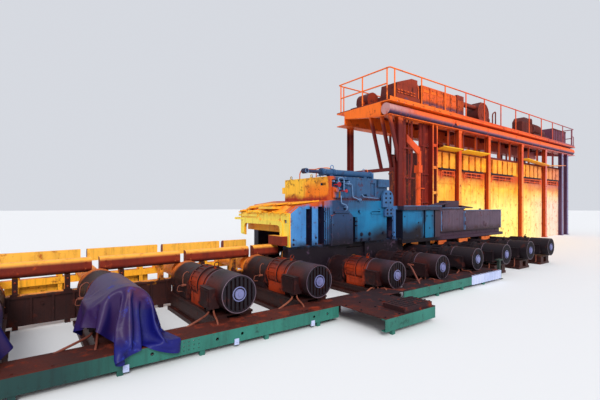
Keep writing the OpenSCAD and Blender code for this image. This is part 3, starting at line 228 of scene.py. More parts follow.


# Paints of the slots: main colour, faded colour, rust, share of rust, streaks, then the zones. Many zones,
# and some main colours, are painted light and shade: the glow of the hot bar, highlights, and shade in
# recesses and on sides turned from the light.
paint("stand_blue", (86, 152, 212), (64, 126, 188), (80, 58, 78), 0.3, 0.4,
    tint_or_light(38, 62, 98, X=(-0.95, -0.6), Y=(-1.1, -1.16)),
    tint_or_light(26, 24, 42, X=(-0.95, -0.6), Y=(-1.1, -1.16), Z=(1.50, 1.0)),
    tint_or_light(52, 104, 160, X=(1.30, 1.40)),
    # painted shade in the backs of the recesses between the posts and on the slot sides facing the entry end
    tint_or_light(30, 26, 50, Y=(-1.13, -1.08), y=(-0.3, -0.8), X=(-2.0, -1.8)),
    tint_or_light(28, 26, 52, x=(-0.3, -0.8), X=(-1.74, -1.70)),
    # painted glow light of the hot bar on the stand's upper entry part and on the tops at the entry side
    tint_or_light(206, 84, 26, Z=(1.74, 1.83), X=(-0.60, -0.95)),
    tint_or_light(214, 96, 26, z=(0.2, 0.7), X=(-0.2, -0.7)),
    tint_or_light(24, 14, 24, Z=(1.06, 0.86)))
paint("case_cyan", (22, 118, 164), (16, 94, 138), (50, 56, 80), 0.2, 0.35,
    tint_or_light(26, 30, 48, Z=(1.22, 0.95)),
    tint_or_light(22, 22, 36, Z=(1.36, 1.04), X=(0.50, 0.90)),
    tint_or_light(44, 84, 122, Z=(1.60, 1.75), X=(0.75, 0.3)),
    tint_or_light(30, 22, 28, X=(2.15, 2.55), Z=(1.34, 1.12)),
    tint_or_light(26, 58, 86, X=(2.66, 2.76)),
    tint_or_light(20, 104, 144, X=(2.86, 2.88)),
    tint_or_light(30, 70, 102, X=(3.16, 3.26)),
    tint_or_light(70, 52, 62, X=(3.32, 3.34)),
    # painted shade on the sides that face the entry end
    tint_or_light(20, 24, 44, x=(-0.3, -0.8)))
paint("cover_blue", (66, 112, 160), (48, 88, 134), (50, 40, 58), 0.3, 0.5,
    tint_or_light(40, 78, 118, X=(0.84, 0.78)),
    tint_or_light(42, 52, 84, X=(-0.84, -0.90)))
paint("top_slate", (38, 72, 110), (54, 92, 132), (80, 32, 38), 0.34, 0.5,
    tint_or_light(70, 38, 52, Z=(2.02, 1.94)),
    # painted glow light of the hot bar on the faces towards the entry and on the near face's entry end
    tint_or_light(255, 200, 52, x=(-0.4, -0.8), X=(-0.3, -0.55)),
    tint_or_light(255, 140, 20, x=(-0.4, -0.8), X=(-0.3, -0.55), Y=(-0.15, -0.3), Z=(2.5, 2.2)),
    tint_or_light(170, 50, 16, x=(-0.4, -0.8), X=(-0.3, -0.55), Z=(2.06, 1.95)),
    tint_or_light(208, 84, 24, Y=(-1.1, -1.16), X=(-0.50, -0.62)))
paint("dark_steel", (16, 10, 18), (26, 16, 24), (60, 26, 22), 0.3, 0.5,
    tint_or_light(50, 50, 72, Z=(1.64, 1.68), X=(1.80, 1.85)),
    tint_or_light(66, 44, 60, Z=(0.74, 0.78), X=(3.3, 3.7), Y=(-1.0, -1.1)),
    # painted glow light of the hot bar on faces towards the entry
    tint_or_light(232, 124, 44, x=(-0.4, -0.8), X=(-1.50, -1.60), Z=(0.42, 0.52)),
    tint_or_light(92, 28, 22, Z=(5.2, 5.5)),
    # painted glow light on the near faces of the deck machines towards the entry end
    tint_or_light(150, 50, 24, Z=(5.2, 5.5), y=(-0.6, -0.95), X=(14.0, 10.0)),
    tint_or_light(110, 60, 84, Z=(5.2, 5.5), X=(18.5, 19.8)))
# the hood's yellow and orange are painted glow light of the hot bar, with a painted highlight on its front
# and deeper and brighter glow on its roof
paint("heat_yellow", (255, 196, 52), (252, 166, 38), (214, 84, 22), 0.3, 0.3,
    tint_or_light(255, 232, 92, X=(-1.70, -1.76), x=(-0.4, -0.8), Z=(1.9, 1.5)),
    tint_or_light(170, 62, 22, z=(0.3, 0.7), X=(-1.25, -0.9)),
    tint_or_light(250, 160, 34, z=(0.3, 0.7), X=(-1.1, -1.6)))
paint("grey_plate", (96, 76, 92), (74, 58, 76), (100, 46, 40), 0.3, 0.5,
    # painted glow light on the tops
    tint_or_light(232, 120, 50, z=(0.3, 0.8)),
    tint_or_light(60, 40, 48, Z=(1.2, 1.05)))
paint("roll_steel", (190, 120, 70), (140, 82, 50), (95, 50, 34), 0.2, 0.3, metallic=0.6, rough=0.4)
paint("roller_scale", (250, 160, 50), (220, 105, 36), (150, 66, 30), 0.4, 0.4)
paint("table_dark", (44, 16, 14), (58, 22, 16), (96, 36, 20), 0.3, 0.6,
    # painted glow light of the hot bar on the table at the entry and on the far aprons
    tint_or_light(250, 150, 36, Z=(0.46, 0.50), Y=(-0.76, -0.71), X=(-0.4, -1.2)),
    tint_or_light(255, 178, 40, Y=(0.3, 0.6), y=(-0.3, -0.8), X=(0.0, -1.0)))
paint("guard_rust", (142, 44, 18), (104, 28, 14), (176, 66, 24), 0.3, 0.4,
    # painted glow light on the tops and the far guards, painted shade on the undersides
    tint_or_light(255, 176, 64, z=(0.1, 0.8)),
    tint_or_light(70, 18, 14, z=(-0.1, -0.7)),
    tint_or_light(255, 190, 70, Y=(0.3, 0.6), y=(-0.3, -0.8)))
paint("motor_brown", (44, 17, 18), (34, 14, 17), (86, 30, 18), 0.35, 0.5,
    # painted glow light of the hot bar on the drives' entry sides and tops
    tint_or_light(172, 54, 14, Y=(-2.46, -2.38), x=(-0.15, -0.8), X=(0.5, 0.1)),
    tint_or_light(66, 22, 18, Y=(-2.5, -2.4), z=(0.2, 0.8), X=(0.5, 0.1)),
    tint_or_light(36, 13, 16, Y=(-1.80, -1.72)),
    tint_or_light(24, 12, 18, X=(1.0, 2.4)),
    # painted glow light on the tops near the table
    tint_or_light(236, 120, 40, Y=(-1.12, -0.96), z=(0.0, 0.6), X=(-1.0, -1.8)))
paint("cowl_dark", (32, 15, 20), (42, 20, 24), (70, 28, 22), 0.3, 0.4,
    # painted highlight on the cowls' tops, and painted glow on their entry sides
    tint_or_light(62, 40, 52, z=(0.45, 0.95), Y=(-2.6, -2.85)),
    tint_or_light(80, 24, 16, x=(-0.5, -0.95), X=(1.2, 0.4), Y=(-2.84, -2.70)),
    tint_or_light(24, 13, 20, X=(1.0, 2.4)),
    tint_or_light(20, 12, 22, y=(-0.6, -0.9)))
paint("kerb_green", (48, 118, 104), (38, 98, 86), (30, 36, 36), 0.25, 0.45,
    tint_or_light(26, 58, 56, X=(-4.9, -5.9)),
    tint_or_light(46, 62, 56, X=(2.99, 3.03)))
paint("kerb_rust", (84, 27, 14), (56, 19, 14), (128, 44, 20), 0.45, 0.4,
    tint_or_light(40, 18, 24, X=(-2.5, -1.6)), rough=0.8)
# on the tarpaulins the rust tone makes painted highlights, the purple-brown top is painted warm light and
# the sides facing the exit are painted shade
paint("sheet_blue", (15, 18, 104), (15, 13, 74), (40, 60, 168), 0.2, 0.1,
    tint_or_light(84, 36, 56, Z=(0.62, 0.86)),
    tint_or_light(48, 26, 74, X=(-5.16, -5.30), Z=(0.30, 0.42)),
    tint_or_light(16, 14, 80, x=(0.2, 0.8)), rough=0.46)
# the orange is partly the steel's red oxide and partly painted glow of the hot bar, brighter towards the
# entry end and low on the columns
paint("gallery_orange", (240, 92, 28), (216, 68, 22), (130, 42, 24), 0.3, 0.3,
    tint_or_light(255, 116, 26, X=(9.5, 7.0), Z=(4.6, 5.2)),
    tint_or_light(255, 164, 66, X=(6.68, 6.72), Z=(3.9, 2.4)),
    tint_or_light(104, 24, 18, X=(5.6, 4.9), Z=(5.1, 4.7)),
    tint_or_light(216, 122, 116, X=(14.0, 18.5), Z=(5.5, 4.9)),
    tint_or_light(150, 84, 96, X=(16.5, 21.5), Z=(4.9, 5.5)),
    tint_or_light(124, 118, 152, X=(19.9, 20.1), Z=(5.0, 4.9)),
    # painted shade in the recess behind the battened column and on its sides facing the entry, up to X 7.8
    tint_or_light(108, 26, 18, Y=(1.20, 1.24), X=(6.5, 6.6), Z=(5.0, 4.9)),
    tint_or_light(112, 26, 18, x=(-0.3, -0.8), X=(6.5, 6.6), Z=(5.0, 4.9)),
    tint_or_light(214, 84, 30, x=(-0.3, -0.8), X=(7.4, 7.8), Z=(5.0, 4.9)),
    tint_or_light(110, 80, 116, x=(-0.3, -0.8), X=(18.8, 19.8), Z=(5.0, 4.9)))
paint("duct_grey", (150, 98, 116), (128, 84, 106), (190, 84, 60), 0.25, 0.3,
    # painted light and shade on the round duct: glow and pale light on its top, painted shade below, orange
    # glow of the hot bar on its underside
    tint_or_light(244, 104, 44, z=(-0.36, -0.02), X=(4.2, 6.0)),
    tint_or_light(196, 140, 136, z=(-0.36, -0.02), X=(5.6, 4.4)),
    tint_or_light(62, 50, 84, z=(-0.30, -0.56)),
    tint_or_light(150, 52, 28, z=(-0.88, -0.99)))
paint("deck_rust", (128, 44, 28), (98, 32, 24), (78, 30, 24), 0.4, 0.4,
    # painted glow light of the hot bar on the near faces towards the entry end and at the low front
    tint_or_light(236, 96, 30, y=(-0.5, -0.9), Z=(5.90, 6.05), X=(13.0, 9.0)),
    tint_or_light(118, 66, 82, y=(-0.5, -0.9), Z=(5.98, 5.86), X=(9.6, 9.3)),
    tint_or_light(255, 110, 24, y=(-0.5, -0.9), Z=(5.68, 5.58), Y=(1.2, 1.1)))
# the chamber's yellow is painted glow light of the hot bar, paler low down, deeper orange higher up, and
# duller on the back wall
paint("wall_yellow", (255, 206, 70), (252, 164, 44), (222, 96, 30), 0.35, 0.6,
    tint_or_light(255, 236, 130, Z=(2.5, 1.7), X=(8.0, 10.5)),
    tint_or_light(240, 214, 190, Z=(2.9, 1.9), X=(15.0, 19.0)),
    tint_or_light(206, 86, 40, Z=(2.55, 3.1)),
    tint_or_light(208, 120, 104, Z=(2.5, 3.0), X=(15.0, 18.0)),
    tint_or_light(214, 128, 62, Y=(3.0, 3.5)),
    tint_or_light(86, 26, 24, X=(7.14, 7.08)), soot=(226, 112, 36))
# the amber is partly painted glow of the hot bar; painted glow on the undersides and painted shade in the
# recess behind the front
paint("panel_amber", (255, 172, 44), (250, 138, 30), (206, 84, 30), 0.25, 0.4,
    tint_or_light(255, 196, 36, Y=(1.20, 1.16), z=(-2.0, -1.5)),
    tint_or_light(226, 134, 96, X=(15.0, 20.0)),
    tint_or_light(110, 40, 24, Y=(1.24, 1.29), x=(2.0, -2.0)),
    tint_or_light(86, 26, 24, X=(7.14, 7.08)), soot=(190, 74, 26))
paint("pipe_red", (140, 38, 24), (106, 28, 22), (176, 64, 30), 0.35, 0.5)

# Finishes of small fittings, which take the slots of what they are fixed to
paint("hub_lilac", (128, 132, 176), (104, 104, 150), (90, 60, 80), 0.3, 0.3)
paint("rim_worn", (130, 108, 120), (96, 76, 92), (90, 44, 40), 0.3, 0.3, metallic=0.3, rough=0.4)
paint("pale_pipe", (150, 84, 62), (112, 56, 46), (84, 40, 36), 0.3, 0.3)
# pale finish of pipes and fittings, also a painted highlight on the lid edges and seams
paint("pale_fitting_or_highlight", (112, 146, 188), (78, 108, 150), (66, 50, 76), 0.3, 0.4)
paint("red_valve", (206, 44, 50), (160, 36, 46), (80, 30, 40), 0.2, 0.2)
paint("dark_bolt", (22, 22, 40), (30, 28, 46), (50, 32, 40), 0.2, 0.2)
paint("wrap_white", (176, 186, 220), (196, 202, 230), (120, 110, 130), 0.1, 0.3)
paint("lit_frame", (246, 104, 44), (226, 80, 34), (130, 42, 26), 0.3, 0.4)
# painted glow light of the hot bar on the pipes over the top case and on the brackets below the exit cases
paint("painted_glow_orange", (236, 126, 60), (206, 92, 42), (130, 56, 36), 0.3, 0.3)


def dress_nodes():
    for part in frame["record"]["subparts"]:
        slots = NODES[part["node"]].data.materials
        slots.clear()
        slots.append(MATERIALS[part["material_slot"]])


# Edges of a fitting above this angle stay sharp
SHARP_ANGLE = math.radians(35)
PIPE_SIDES = 10
BEND_STEPS = 5
RING_SIDES = 8


class Shape:
    """Collects boxes, rods, pipes, rings and bolts in one mesh, in metres."""

    def __init__(self):
        self.mesh = bmesh.new()

    def box(self, low, high):
        low = Vector(low)
        high = Vector(high)
        place = Matrix.Translation((low + high) / 2) @ Matrix.Diagonal((*(high - low), 1.0))
        bmesh.ops.create_cube(self.mesh, size=1.0, matrix=place)

    def block(self, x, half, low, high):
        """A box with a half width around x, between two places in Y and Z."""
        self.box((x - half, *low), (x + half, *high))

    def rod(self, start, end, radius, sides=16):
        start = Vector(start)
        end = Vector(end)
        turn = (end - start).to_track_quat("Z", "Y").to_matrix().to_4x4()
        bmesh.ops.create_cone(self.mesh, cap_ends=True, segments=sides, radius1=radius, radius2=radius,
            depth=(end - start).length, matrix=Matrix.Translation((start + end) / 2) @ turn)

    def walls(self, near, far):
        """Faces between two outlines that have as many corners."""
        for k in range(len(near)):
            after = (k + 1) % len(near)
            self.mesh.faces.new((near[k], near[after], far[after], far[k]))

    def loft(self, centres, radius, sides, closed):
        """A round tube along centres, closed into a ring or capped at its ends."""
        rings = []
        count = len(centres)
        turns = [2 * math.pi * k / sides for k in range(sides)]
        side = None
        for i, at in enumerate(centres):
            after = centres[(i + 1) % count] if closed or i < count - 1 else at
            before = centres[i - 1] if closed or i > 0 else at
            ahead = (after - before).normalized()
            if side is None:
                side = ahead.orthogonal().normalized()
            side = (side - ahead * side.dot(ahead)).normalized()
            up = ahead.cross(side)
            places = [at + (side * math.cos(t) + up * math.sin(t)) * radius for t in turns]
            rings.append([self.mesh.verts.new(place) for place in places])
        for i in range(count if closed else count - 1):
            self.walls(rings[i], rings[(i + 1) % count])
        if not closed:
            self.mesh.faces.new(list(reversed(rings[0])))
            self.mesh.faces.new(rings[-1])

    def pipe(self, points, radius, bend=0.05):
        """A bent pipe through points, with its corners rounded."""
        points = [Vector(point) for point in points]
        centres = [points[0]]
        for before, at, after in zip(points, points[1:], points[2:]):
            into = (before - at).normalized() * min(bend, (before - at).length / 2.1)
            away = (after - at).normalized() * min(bend, (after - at).length / 2.1)
            for i in range(BEND_STEPS + 1):
                t = i / BEND_STEPS
                centres.append(at + into * (1 - t) ** 2 + away * t ** 2)
        centres.append(points[-1])
        self.loft(centres, radius, PIPE_SIDES, False)

    def ring(self, centre, axis, radius, thick, count=28):
        centre = Vector(centre)
        across = Vector(axis).orthogonal().normalized()
        up = Vector(axis).normalized().cross(across)
        turns = [2 * math.pi * i / count for i in range(count)]
        places = [centre + (across * math.cos(t) + up * math.sin(t)) * radius for t in turns]
        self.loft(places, thick, RING_SIDES, True)

    def plate(self, corners, thick):
        """A flat plate through four corners, anticlockwise from above, with its thickness upwards."""
        near = [self.mesh.verts.new(corner) for corner in corners]
        far = [self.mesh.verts.new((x, y, z + thick)) for x, y, z in corners]
        self.mesh.faces.new(list(reversed(near)))
        self.mesh.faces.new(far)
        self.walls(near, far)

    def bolt(self, at, out, radius):
        at = Vector(at)
        out = Vector(out).normalized()
        self.rod(at - out * 0.004, at + out * radius * 0.3, radius * 1.5)
        self.rod(at, at + out * radius * 1.1, radius, 6)

    def bolt_circle(self, centre, out, circle, count, radius, shift=0.5):
        """Bolts on a circle round an axis along Y, the first one shifted by a part of the pitch."""
        x, y, z = centre
        for i in range(count):
            bolt_x, bolt_z = round_place(x, z, circle, 2 * math.pi * (i + shift) / count)
            self.bolt((bolt_x, y, bolt_z), out, radius)

    def finish(self, name, slot, look=None):
        """Makes the piece, in its slot's paint or in the finish of a small fitting."""
        data = bpy.data.meshes.new(name)
        bmesh.ops.recalc_face_normals(self.mesh, faces=self.mesh.faces)
        self.mesh.to_mesh(data)
        self.mesh.free()
        data.shade_smooth()
        data.set_sharp_from_angle(angle=SHARP_ANGLE)
        data.materials.append(MATERIALS[look or slot])
        made = add_object(name, data)
        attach(made, "root")


def round_place(x, z, radius, turn):
    """A place at an angle round an axis, in the two directions across it."""
    return x + math.cos(turn) * radius, z + math.sin(turn) * radius


def row(start, pitch, count):
    """Places at an even pitch."""
    return [start + i * pitch for i in range(count)]


def moved(points, x=0.0, y=0.0, z=0.0):
    """Points that are given from a place, as points from the origin."""
    return [(x + dx, y + dy, z + dz) for dx, dy, dz in points]


# Drives
RIB_COUNT = 20
RIB_FOOT_R = MOTOR_R - 0.017
RIB_H = 0.017
RIB_T = 0.006
HUB_R = 0.068
FOOT_BOLT_YS = (-2.30, -1.88)
EYE_Y = -2.21


def motor_ribs():
    ribs = Shape()
    for x, z in AXIS_Z.items():
        for i in range(RIB_COUNT):
            turn = 2 * math.pi * (i + 0.5) / RIB_COUNT
            if math.sin(turn) < -0.75:
                continue
            inner = round_place(x, z, RIB_FOOT_R, turn)
            outer = round_place(x, z, RIB_FOOT_R + RIB_H, turn)
            side = Vector((math.cos(turn + math.pi / 2), 0, math.sin(turn + math.pi / 2))) * RIB_T
            corners = []
            for y in (SHIELD_YS[0] + 0.04, FACE_Y - 0.04):
                for (px, pz), way in ((inner, -1), (outer, -1), (outer, 1), (inner, 1)):
                    corners.append(ribs.mesh.verts.new(Vector((px, y, pz)) + side * way))
            near, far = corners[:4], corners[4:]
            ribs.mesh.faces.new(near)
            ribs.mesh.faces.new(list(reversed(far)))
            for k in range(4):
                after = (k + 1) % 4
                ribs.mesh.faces.new((near[k], far[k], far[after], near[after]))
    ribs.finish("motor_ribs", "motor_brown")


def motor_fittings():
    rims = Shape()
    hubs = Shape()
    bolts = Shape()
    eyes = Shape()
    for x, z in AXIS_Z.items():
        rims.ring((x, FAN_Y + 0.006, z), FAR, MOTOR_R - 0.008, 0.008, 48)
        rims.ring((x, COWL_Y + 0.004, z), FAR, MOTOR_R - 0.006, 0.009, 48)
        hubs.rod((x, FAN_Y - 0.014, z), (x, FAN_Y + 0.01, z), HUB_R, 32)
        hubs.rod((x, FAN_Y - 0.020, z), (x, FAN_Y - 0.012, z), 0.026)
        hubs.ring((x, FAN_Y - 0.002, z), FAR, 0.094, 0.008, 40)
        bolts.bolt_circle((x, FACE_Y, z), FAR, MOTOR_R - 0.022, 8, 0.011)
        for i in range(4):
            bolt_x, bolt_z = round_place(x, z, MOTOR_R, math.pi * (i + 0.5) / 2)
            bolts.bolt((bolt_x, COWL_Y - 0.06, bolt_z), (bolt_x - x, 0, bolt_z - z), 0.008)
        for side in (-1, 1):
            for y in FOOT_BOLT_YS:
                bolts.bolt((x + side * 0.22, y, z - 0.20), UP, 0.012)
        if x != SHEETED_X:
            eyes.ring((x, EYE_Y, z + MOTOR_R + 0.05), (0, 1, 0.2), 0.034, 0.008)
    rims.finish("motor_rims", "cowl_dark", "rim_worn")
    hubs.finish("motor_hubs", "cowl_dark", "hub_lilac")
    bolts.finish("motor_bolts", "motor_brown")
    eyes.finish("motor_eyes", "motor_brown")


# The conduit from the kerb to the drive at the stand's exit side
LONG_CONDUIT = ((0.107, -2.968, KERB_TOP - 0.01), (0.12, -2.75, 0.56), (0.30, -2.52, 0.56),
    (0.61, -2.46, 0.50))


def motor_conduits():
    """Lids of the terminal boxes and the conduits from their glands to the kerb or the floor."""
    conduits = Shape()
    lids = Shape()
    low_y, high_y = TERMINAL_YS
    for x, z in AXIS_Z.items():
        side = x + TERMINAL_X
        lids.box((side - 0.012, low_y + 0.02, z - 0.18), (side + 0.01, high_y - 0.02, z + 0.05))
        for y in (low_y + 0.045, high_y - 0.045):
            for up in (-0.155, 0.025):
                lids.bolt((side - 0.012, y, z + up), BACK, 0.009)
        gland = x - 0.31
        y = low_y + 0.10
        lids.rod((gland, y, z - 0.235), (gland, y, z - 0.195), 0.030)
        if x < KERB_END_X:
            conduits.pipe([(gland, y, z - 0.21), (gland, y, z - 0.28), (x - 0.50, low_y - 0.02, 0.29),
                (x - 0.68, low_y - 0.06, KERB_TOP - 0.01)], 0.014, 0.14)
            conduits.pipe([(x - 0.26, low_y + 0.06, z - 0.20), (x - 0.26, low_y + 0.04, z - 0.28),
                (x - 0.30, low_y - 0.16, 0.28), (x - 0.32, low_y - 0.22, KERB_TOP - 0.01)], 0.013, 0.10)
        else:
            conduits.pipe([(gland, y, z - 0.21), (gland, y, 0.05), (gland, low_y + 0.40, 0.03)], 0.014, 0.06)
    conduits.pipe(LONG_CONDUIT, 0.017, 0.10)
    lids.finish("motor_box_lids", "motor_brown")
    conduits.finish("motor_conduits", "motor_brown", "pale_pipe")


# Two grease pipes at a coupling, from its axis and from the first strap
GREASE_FEED = ((-0.20, 0, 0.175), (-0.23, 0, 0.205), (-0.31, -0.05, 0.17), (-0.325, -0.06, 0.02),
    (-0.262, -0.06, 0))
GREASE_LOOP = ((-0.262, 0.1, -0.03), (-0.34, 0.1, -0.03), (-0.36, 0.1, -0.12), (-0.262, 0.1, -0.13))


def coupling_fittings():
    pipes = Shape()
    straps = Shape()
    for x, z in AXIS_Z.items():
        axis = z - COUPLING_DROP
        end = SIDE_Y - 0.06 if x in FEED_XS else GUARD_Y - 0.15
        for y in (FACE_Y + 0.06, end - 0.04):
            straps.ring((x, y, axis), FAR, COUPLING_R + 0.002, 0.008, 48)
        for side in (-1, 1):
            for y in (FACE_Y + 0.14, end - 0.14):
                straps.bolt((x + side * COUPLING_R, y, axis - 0.12), (side, 0, 0), 0.011)
        if x in ENTRY_XS:
            y = FACE_Y + 0.18
            pipes.pipe(moved(GREASE_FEED, x, y, axis), 0.007, 0.04)
            pipes.rod((x - 0.25, y - 0.06, axis), (x - 0.34, y - 0.06, axis), 0.019, 12)
            pipes.pipe(moved(GREASE_LOOP, x, y, axis), 0.006, 0.03)
    straps.finish("coupling_straps", "motor_brown")
    pipes.finish("grease_pipes", "motor_brown", "pale_pipe")


# Kerb
CLIP_XS = (-5.317, -4.026, -2.794)
WRAP_XS = (1.642, 2.97)
WRAP_TURNS = 22


def kerb_fittings():
    clips = Shape()
    for x in CLIP_XS:
        clips.block(x, 0.03, (KERB_Y - 0.012, KERB_BOTTOM - 0.03), (KERB_Y + 0.01, KERB_BOTTOM + 0.045))
        clips.bolt((x, KERB_Y - 0.012, KERB_BOTTOM + 0.01), NEAR, 0.010)
    clips.finish("kerb_clips", "kerb_green", "wrap_white")

    wrap = Shape()
    span = WRAP_XS[1] - WRAP_XS[0]
    for i in range(WRAP_TURNS):
        low = WRAP_XS[0] + span * i / WRAP_TURNS
        high = low + span / WRAP_TURNS
        swell = 0.004 + 0.004 * (i % 2)
        wrap.box((low, KERB_Y - swell, KERB_BOTTOM - swell), (high, KERB_Y + 0.05, KERB_TOP - 0.006 + swell))
    wrap.finish("kerb_wrap", "kerb_green", "wrap_white")


# Bolts on the stand's near face: Y, radius and places in X and Z
STAND_BOLTS = (
    (SIDE_Y, 0.032, ((0.317, 1.10), (0.598, 1.10), (0.317, 0.97), (0.598, 0.97), (1.093, 1.10))),
    (SIDE_Y, 0.016, ((-1.09, 1.095), (-1.09, 0.964), (-1.688, 1.076), (-1.688, 0.98), (1.52, 1.1),
        (1.52, 0.98))),
    (SIDE_Y, 0.014, ((2.56, 1.323), (2.48, 1.142), (3.08, 1.157), (1.956, 1.09), (1.956, 1.5), (3.2, 1.5),
        (2.95, 1.5))),
    (SIDE_Y - 0.025, 0.010, ((-0.60, 1.0), (-0.06, 1.0), (-0.60, 1.36), (-0.06, 1.46), (-0.30, 1.56))),
    (-0.961, 0.020, ((-1.28, 1.64), (-0.945, 1.70), (-0.945, 1.594))),
    (SIDE_Y, 0.009, ((0.94, 1.70), (1.04, 1.86), (1.20, 1.86), (1.36, 1.86), (1.30, 1.86))))
# The two gear covers: X, Z, radius and the rows of bolts that each has
COVERS = ((1.22, 1.98, 0.200, (-1, 0, 1)), (1.26, 1.59, 0.165, (0, 1)))
COVER_Y = -1.25
# Narrow pipes on the near face: X, lower and upper end
WEEPS = ((-0.831, 0.95, 1.74), (-0.66, 1.06, 1.56), (1.455, 0.94, 1.70), (0.135, 0.94, 1.50))


def stand_bolts():
    bolts = Shape()
    for y, radius, places in STAND_BOLTS:
        for x, z in places:
            bolts.bolt((x, y, z), NEAR, radius)
    for x, z, radius, rows in COVERS:
        for side in (-1, 1):
            for up in rows:
                bolts.bolt((x + side * radius * 0.42, COVER_Y, z + up * radius * 0.55), NEAR, 0.019)
    bolts.finish("stand_bolts", "stand_blue", "dark_bolt")

    caps = Shape()
    for x in row(-0.05, 0.074, 12):
        caps.bolt((x, SIDE_Y, 1.885), NEAR, 0.007)
    for x in row(-0.62, 0.16, 9):
        for z in (1.945, 2.418):
            caps.bolt((x, SIDE_Y, z), NEAR, 0.010)
    for y in row(-1.10, 0.18, 10):
        caps.bolt((-0.69, y, 2.415), BACK, 0.010)
    for y, x in zip(row(-1.07, 0.12, 4), row(-0.225, 0.125, 4)):
        caps.bolt((0.89, y, 2.24), AHEAD, 0.010)
        caps.bolt((x, -1.142, 2.455), UP, 0.010)
    caps.finish("case_bolts", "top_slate")


def stand_weeps():
    """Narrow pipes down the near face, with their clamps."""
    weeps = Shape()
    front = SIDE_Y - 0.030
    for x, low, high in WEEPS:
        middle = (low + high) / 2
        weeps.pipe([(x, front, low), (x, front, middle), (x + 0.004, SIDE_Y - 0.028, high),
            (x + 0.004, SIDE_Y + 0.01, high + 0.02)], 0.007, 0.02)
        for z in (low + 0.08, middle + 0.1, high - 0.08):
            weeps.box((x - 0.016, SIDE_Y - 0.040, z - 0.012), (x + 0.020, SIDE_Y + 0.004, z + 0.012))
    weeps.finish("stand_pipes", "stand_blue")


# Hand wheels beside the top case: X, Z and radius
WHEELS = ((-0.551, 2.26, 0.045), (-0.33, 2.12, 0.030))
# Pipes beside the top case: radius, bend and points, with Y from VALVE_PIPE_Y
VALVE_PIPE_Y = SIDE_Y - 0.045
VALVE_PIPES = (
    (0.014, 0.05, ((-0.47, 0.06, 2.30), (-0.47, 0, 2.30), (-0.47, 0, 2.42), (-0.30, 0, 2.42),
        (-0.30, 0, 2.10), (-0.30, 0.06, 2.10))),
    (0.013, 0.05, ((-0.40, 0.06, 2.02), (-0.40, -0.02, 2.02), (-0.40, -0.02, 1.84), (-0.22, -0.02, 1.80),
        (-0.22, -0.02, 1.68), (-0.22, 0.06, 1.66))),
    (0.011, 0.05, ((-0.14, 0.08, 2.29), (-0.14, -0.01, 2.29), (-0.05, -0.01, 2.29), (-0.02, -0.01, 1.98),
        (0.10, -0.01, 1.96), (0.22, -0.01, 1.90), (0.22, 0.06, 1.88))),
    (0.010, 0.04, ((0.30, 0.06, 2.05), (0.30, -0.02, 2.05), (0.30, -0.02, 2.00), (0.72, -0.02, 1.97),
        (0.86, -0.02, 1.97), (0.86, 0.06, 1.95))))
UNIONS = ((-0.19, 2.29), (-0.47, 2.18), (-0.22, 1.75), (0.22, 1.93))
PLUG_XS = (-0.60, -0.44, -0.28, -0.13)
PLUG_Z = 2.335


def valves():
    wheels = Shape()
    y = SIDE_Y - 0.16
    for x, z, radius in WHEELS:
        wheels.ring((x, y, z), FAR, radius, 0.008, 24)
        wheels.rod((x, y - 0.01, z), (x, SIDE_Y + 0.02, z), 0.012)
        for i in range(4):
            rim_x, rim_z = round_place(x, z, radius, math.pi * i / 2)
            wheels.rod((x, y, z), (rim_x, y, rim_z), 0.005, 8)
    wheels.finish("valve_wheels", "dark_steel", "red_valve")

    pipes = Shape()
    for radius, bend, points in VALVE_PIPES:
        pipes.pipe(moved(points, y=VALVE_PIPE_Y), radius, bend)
    for x, z in UNIONS:
        pipes.rod((x, SIDE_Y - 0.075, z), (x, SIDE_Y + 0.04, z), 0.026, 20)
        pipes.rod((x, SIDE_Y - 0.085, z), (x, SIDE_Y - 0.06, z), 0.017, 6)
    for x in PLUG_XS:
        pipes.rod((x, SIDE_Y - 0.05, PLUG_Z), (x, SIDE_Y + 0.05, PLUG_Z), 0.019)
    pipes.finish("valve_pipes", "dark_steel", "pale_fitting_or_highlight")


# Pipes over the top case: radius, bend and points
TOP_PIPES = (
    (0.013, 0.07, ((-0.62, 0.02, 2.44), (-0.62, 0.02, 2.60), (-0.62, -0.06, 2.665), (-0.62, -0.24, 2.675),
        (-0.62, -0.60, 2.645), (-0.62, -0.70, 2.66), (-0.55, -0.95, 2.66), (-0.48, -1.03, 2.63))),
    (0.011, 0.06, ((-0.60, -0.60, 2.44), (-0.60, -0.60, 2.56), (-0.60, -0.78, 2.60), (-0.52, -0.92, 2.59))),
    (0.011, 0.05, ((0.70, -1.03, 2.62), (0.70, -1.03, 2.68), (0.70, -0.90, 2.68), (0.70, -0.84, 2.44))))
CYLINDER_Y = -1.03
CYLINDER_Z = 2.545
FLANGE_XS = (-0.76, -0.42, 0.70)


def top_pipes():
    loops = Shape()
    for radius, bend, points in TOP_PIPES:
        loops.pipe(points, radius, bend)
    # the pipes take painted glow light of the hot bar
    loops.finish("top_pipes", "top_slate", "painted_glow_orange")

    rings = Shape()
    rings.ring((-0.48, CYLINDER_Y, 2.672), FAR, 0.045, 0.010)
    rings.ring((0.56, CYLINDER_Y, 2.655), FAR, 0.034, 0.008)
    rings.rod((0.855, -1.075, 2.585), (0.855, -0.985, 2.585), 0.020)
    rings.ring((-1.27, -1.11, CYLINDER_Z), FAR, 0.045, 0.007)
    for x in FLANGE_XS:
        for i in range(8):
            y, z = round_place(CYLINDER_Y, CYLINDER_Z, 0.083, math.pi * (i + 0.5) / 4)
            rings.bolt((x + 0.001, y, z), BACK, 0.007)
    rings.finish("cylinder_fittings", "stand_blue", "pale_fitting_or_highlight")


# Top case: lifting eyes, as X and Y, and the line of its back
EYE_PLACES = ((-0.58, 0.44), (0.72, 0.44), (-0.58, -0.40), (0.72, -0.60))
TOP_BACK_Y = 0.565


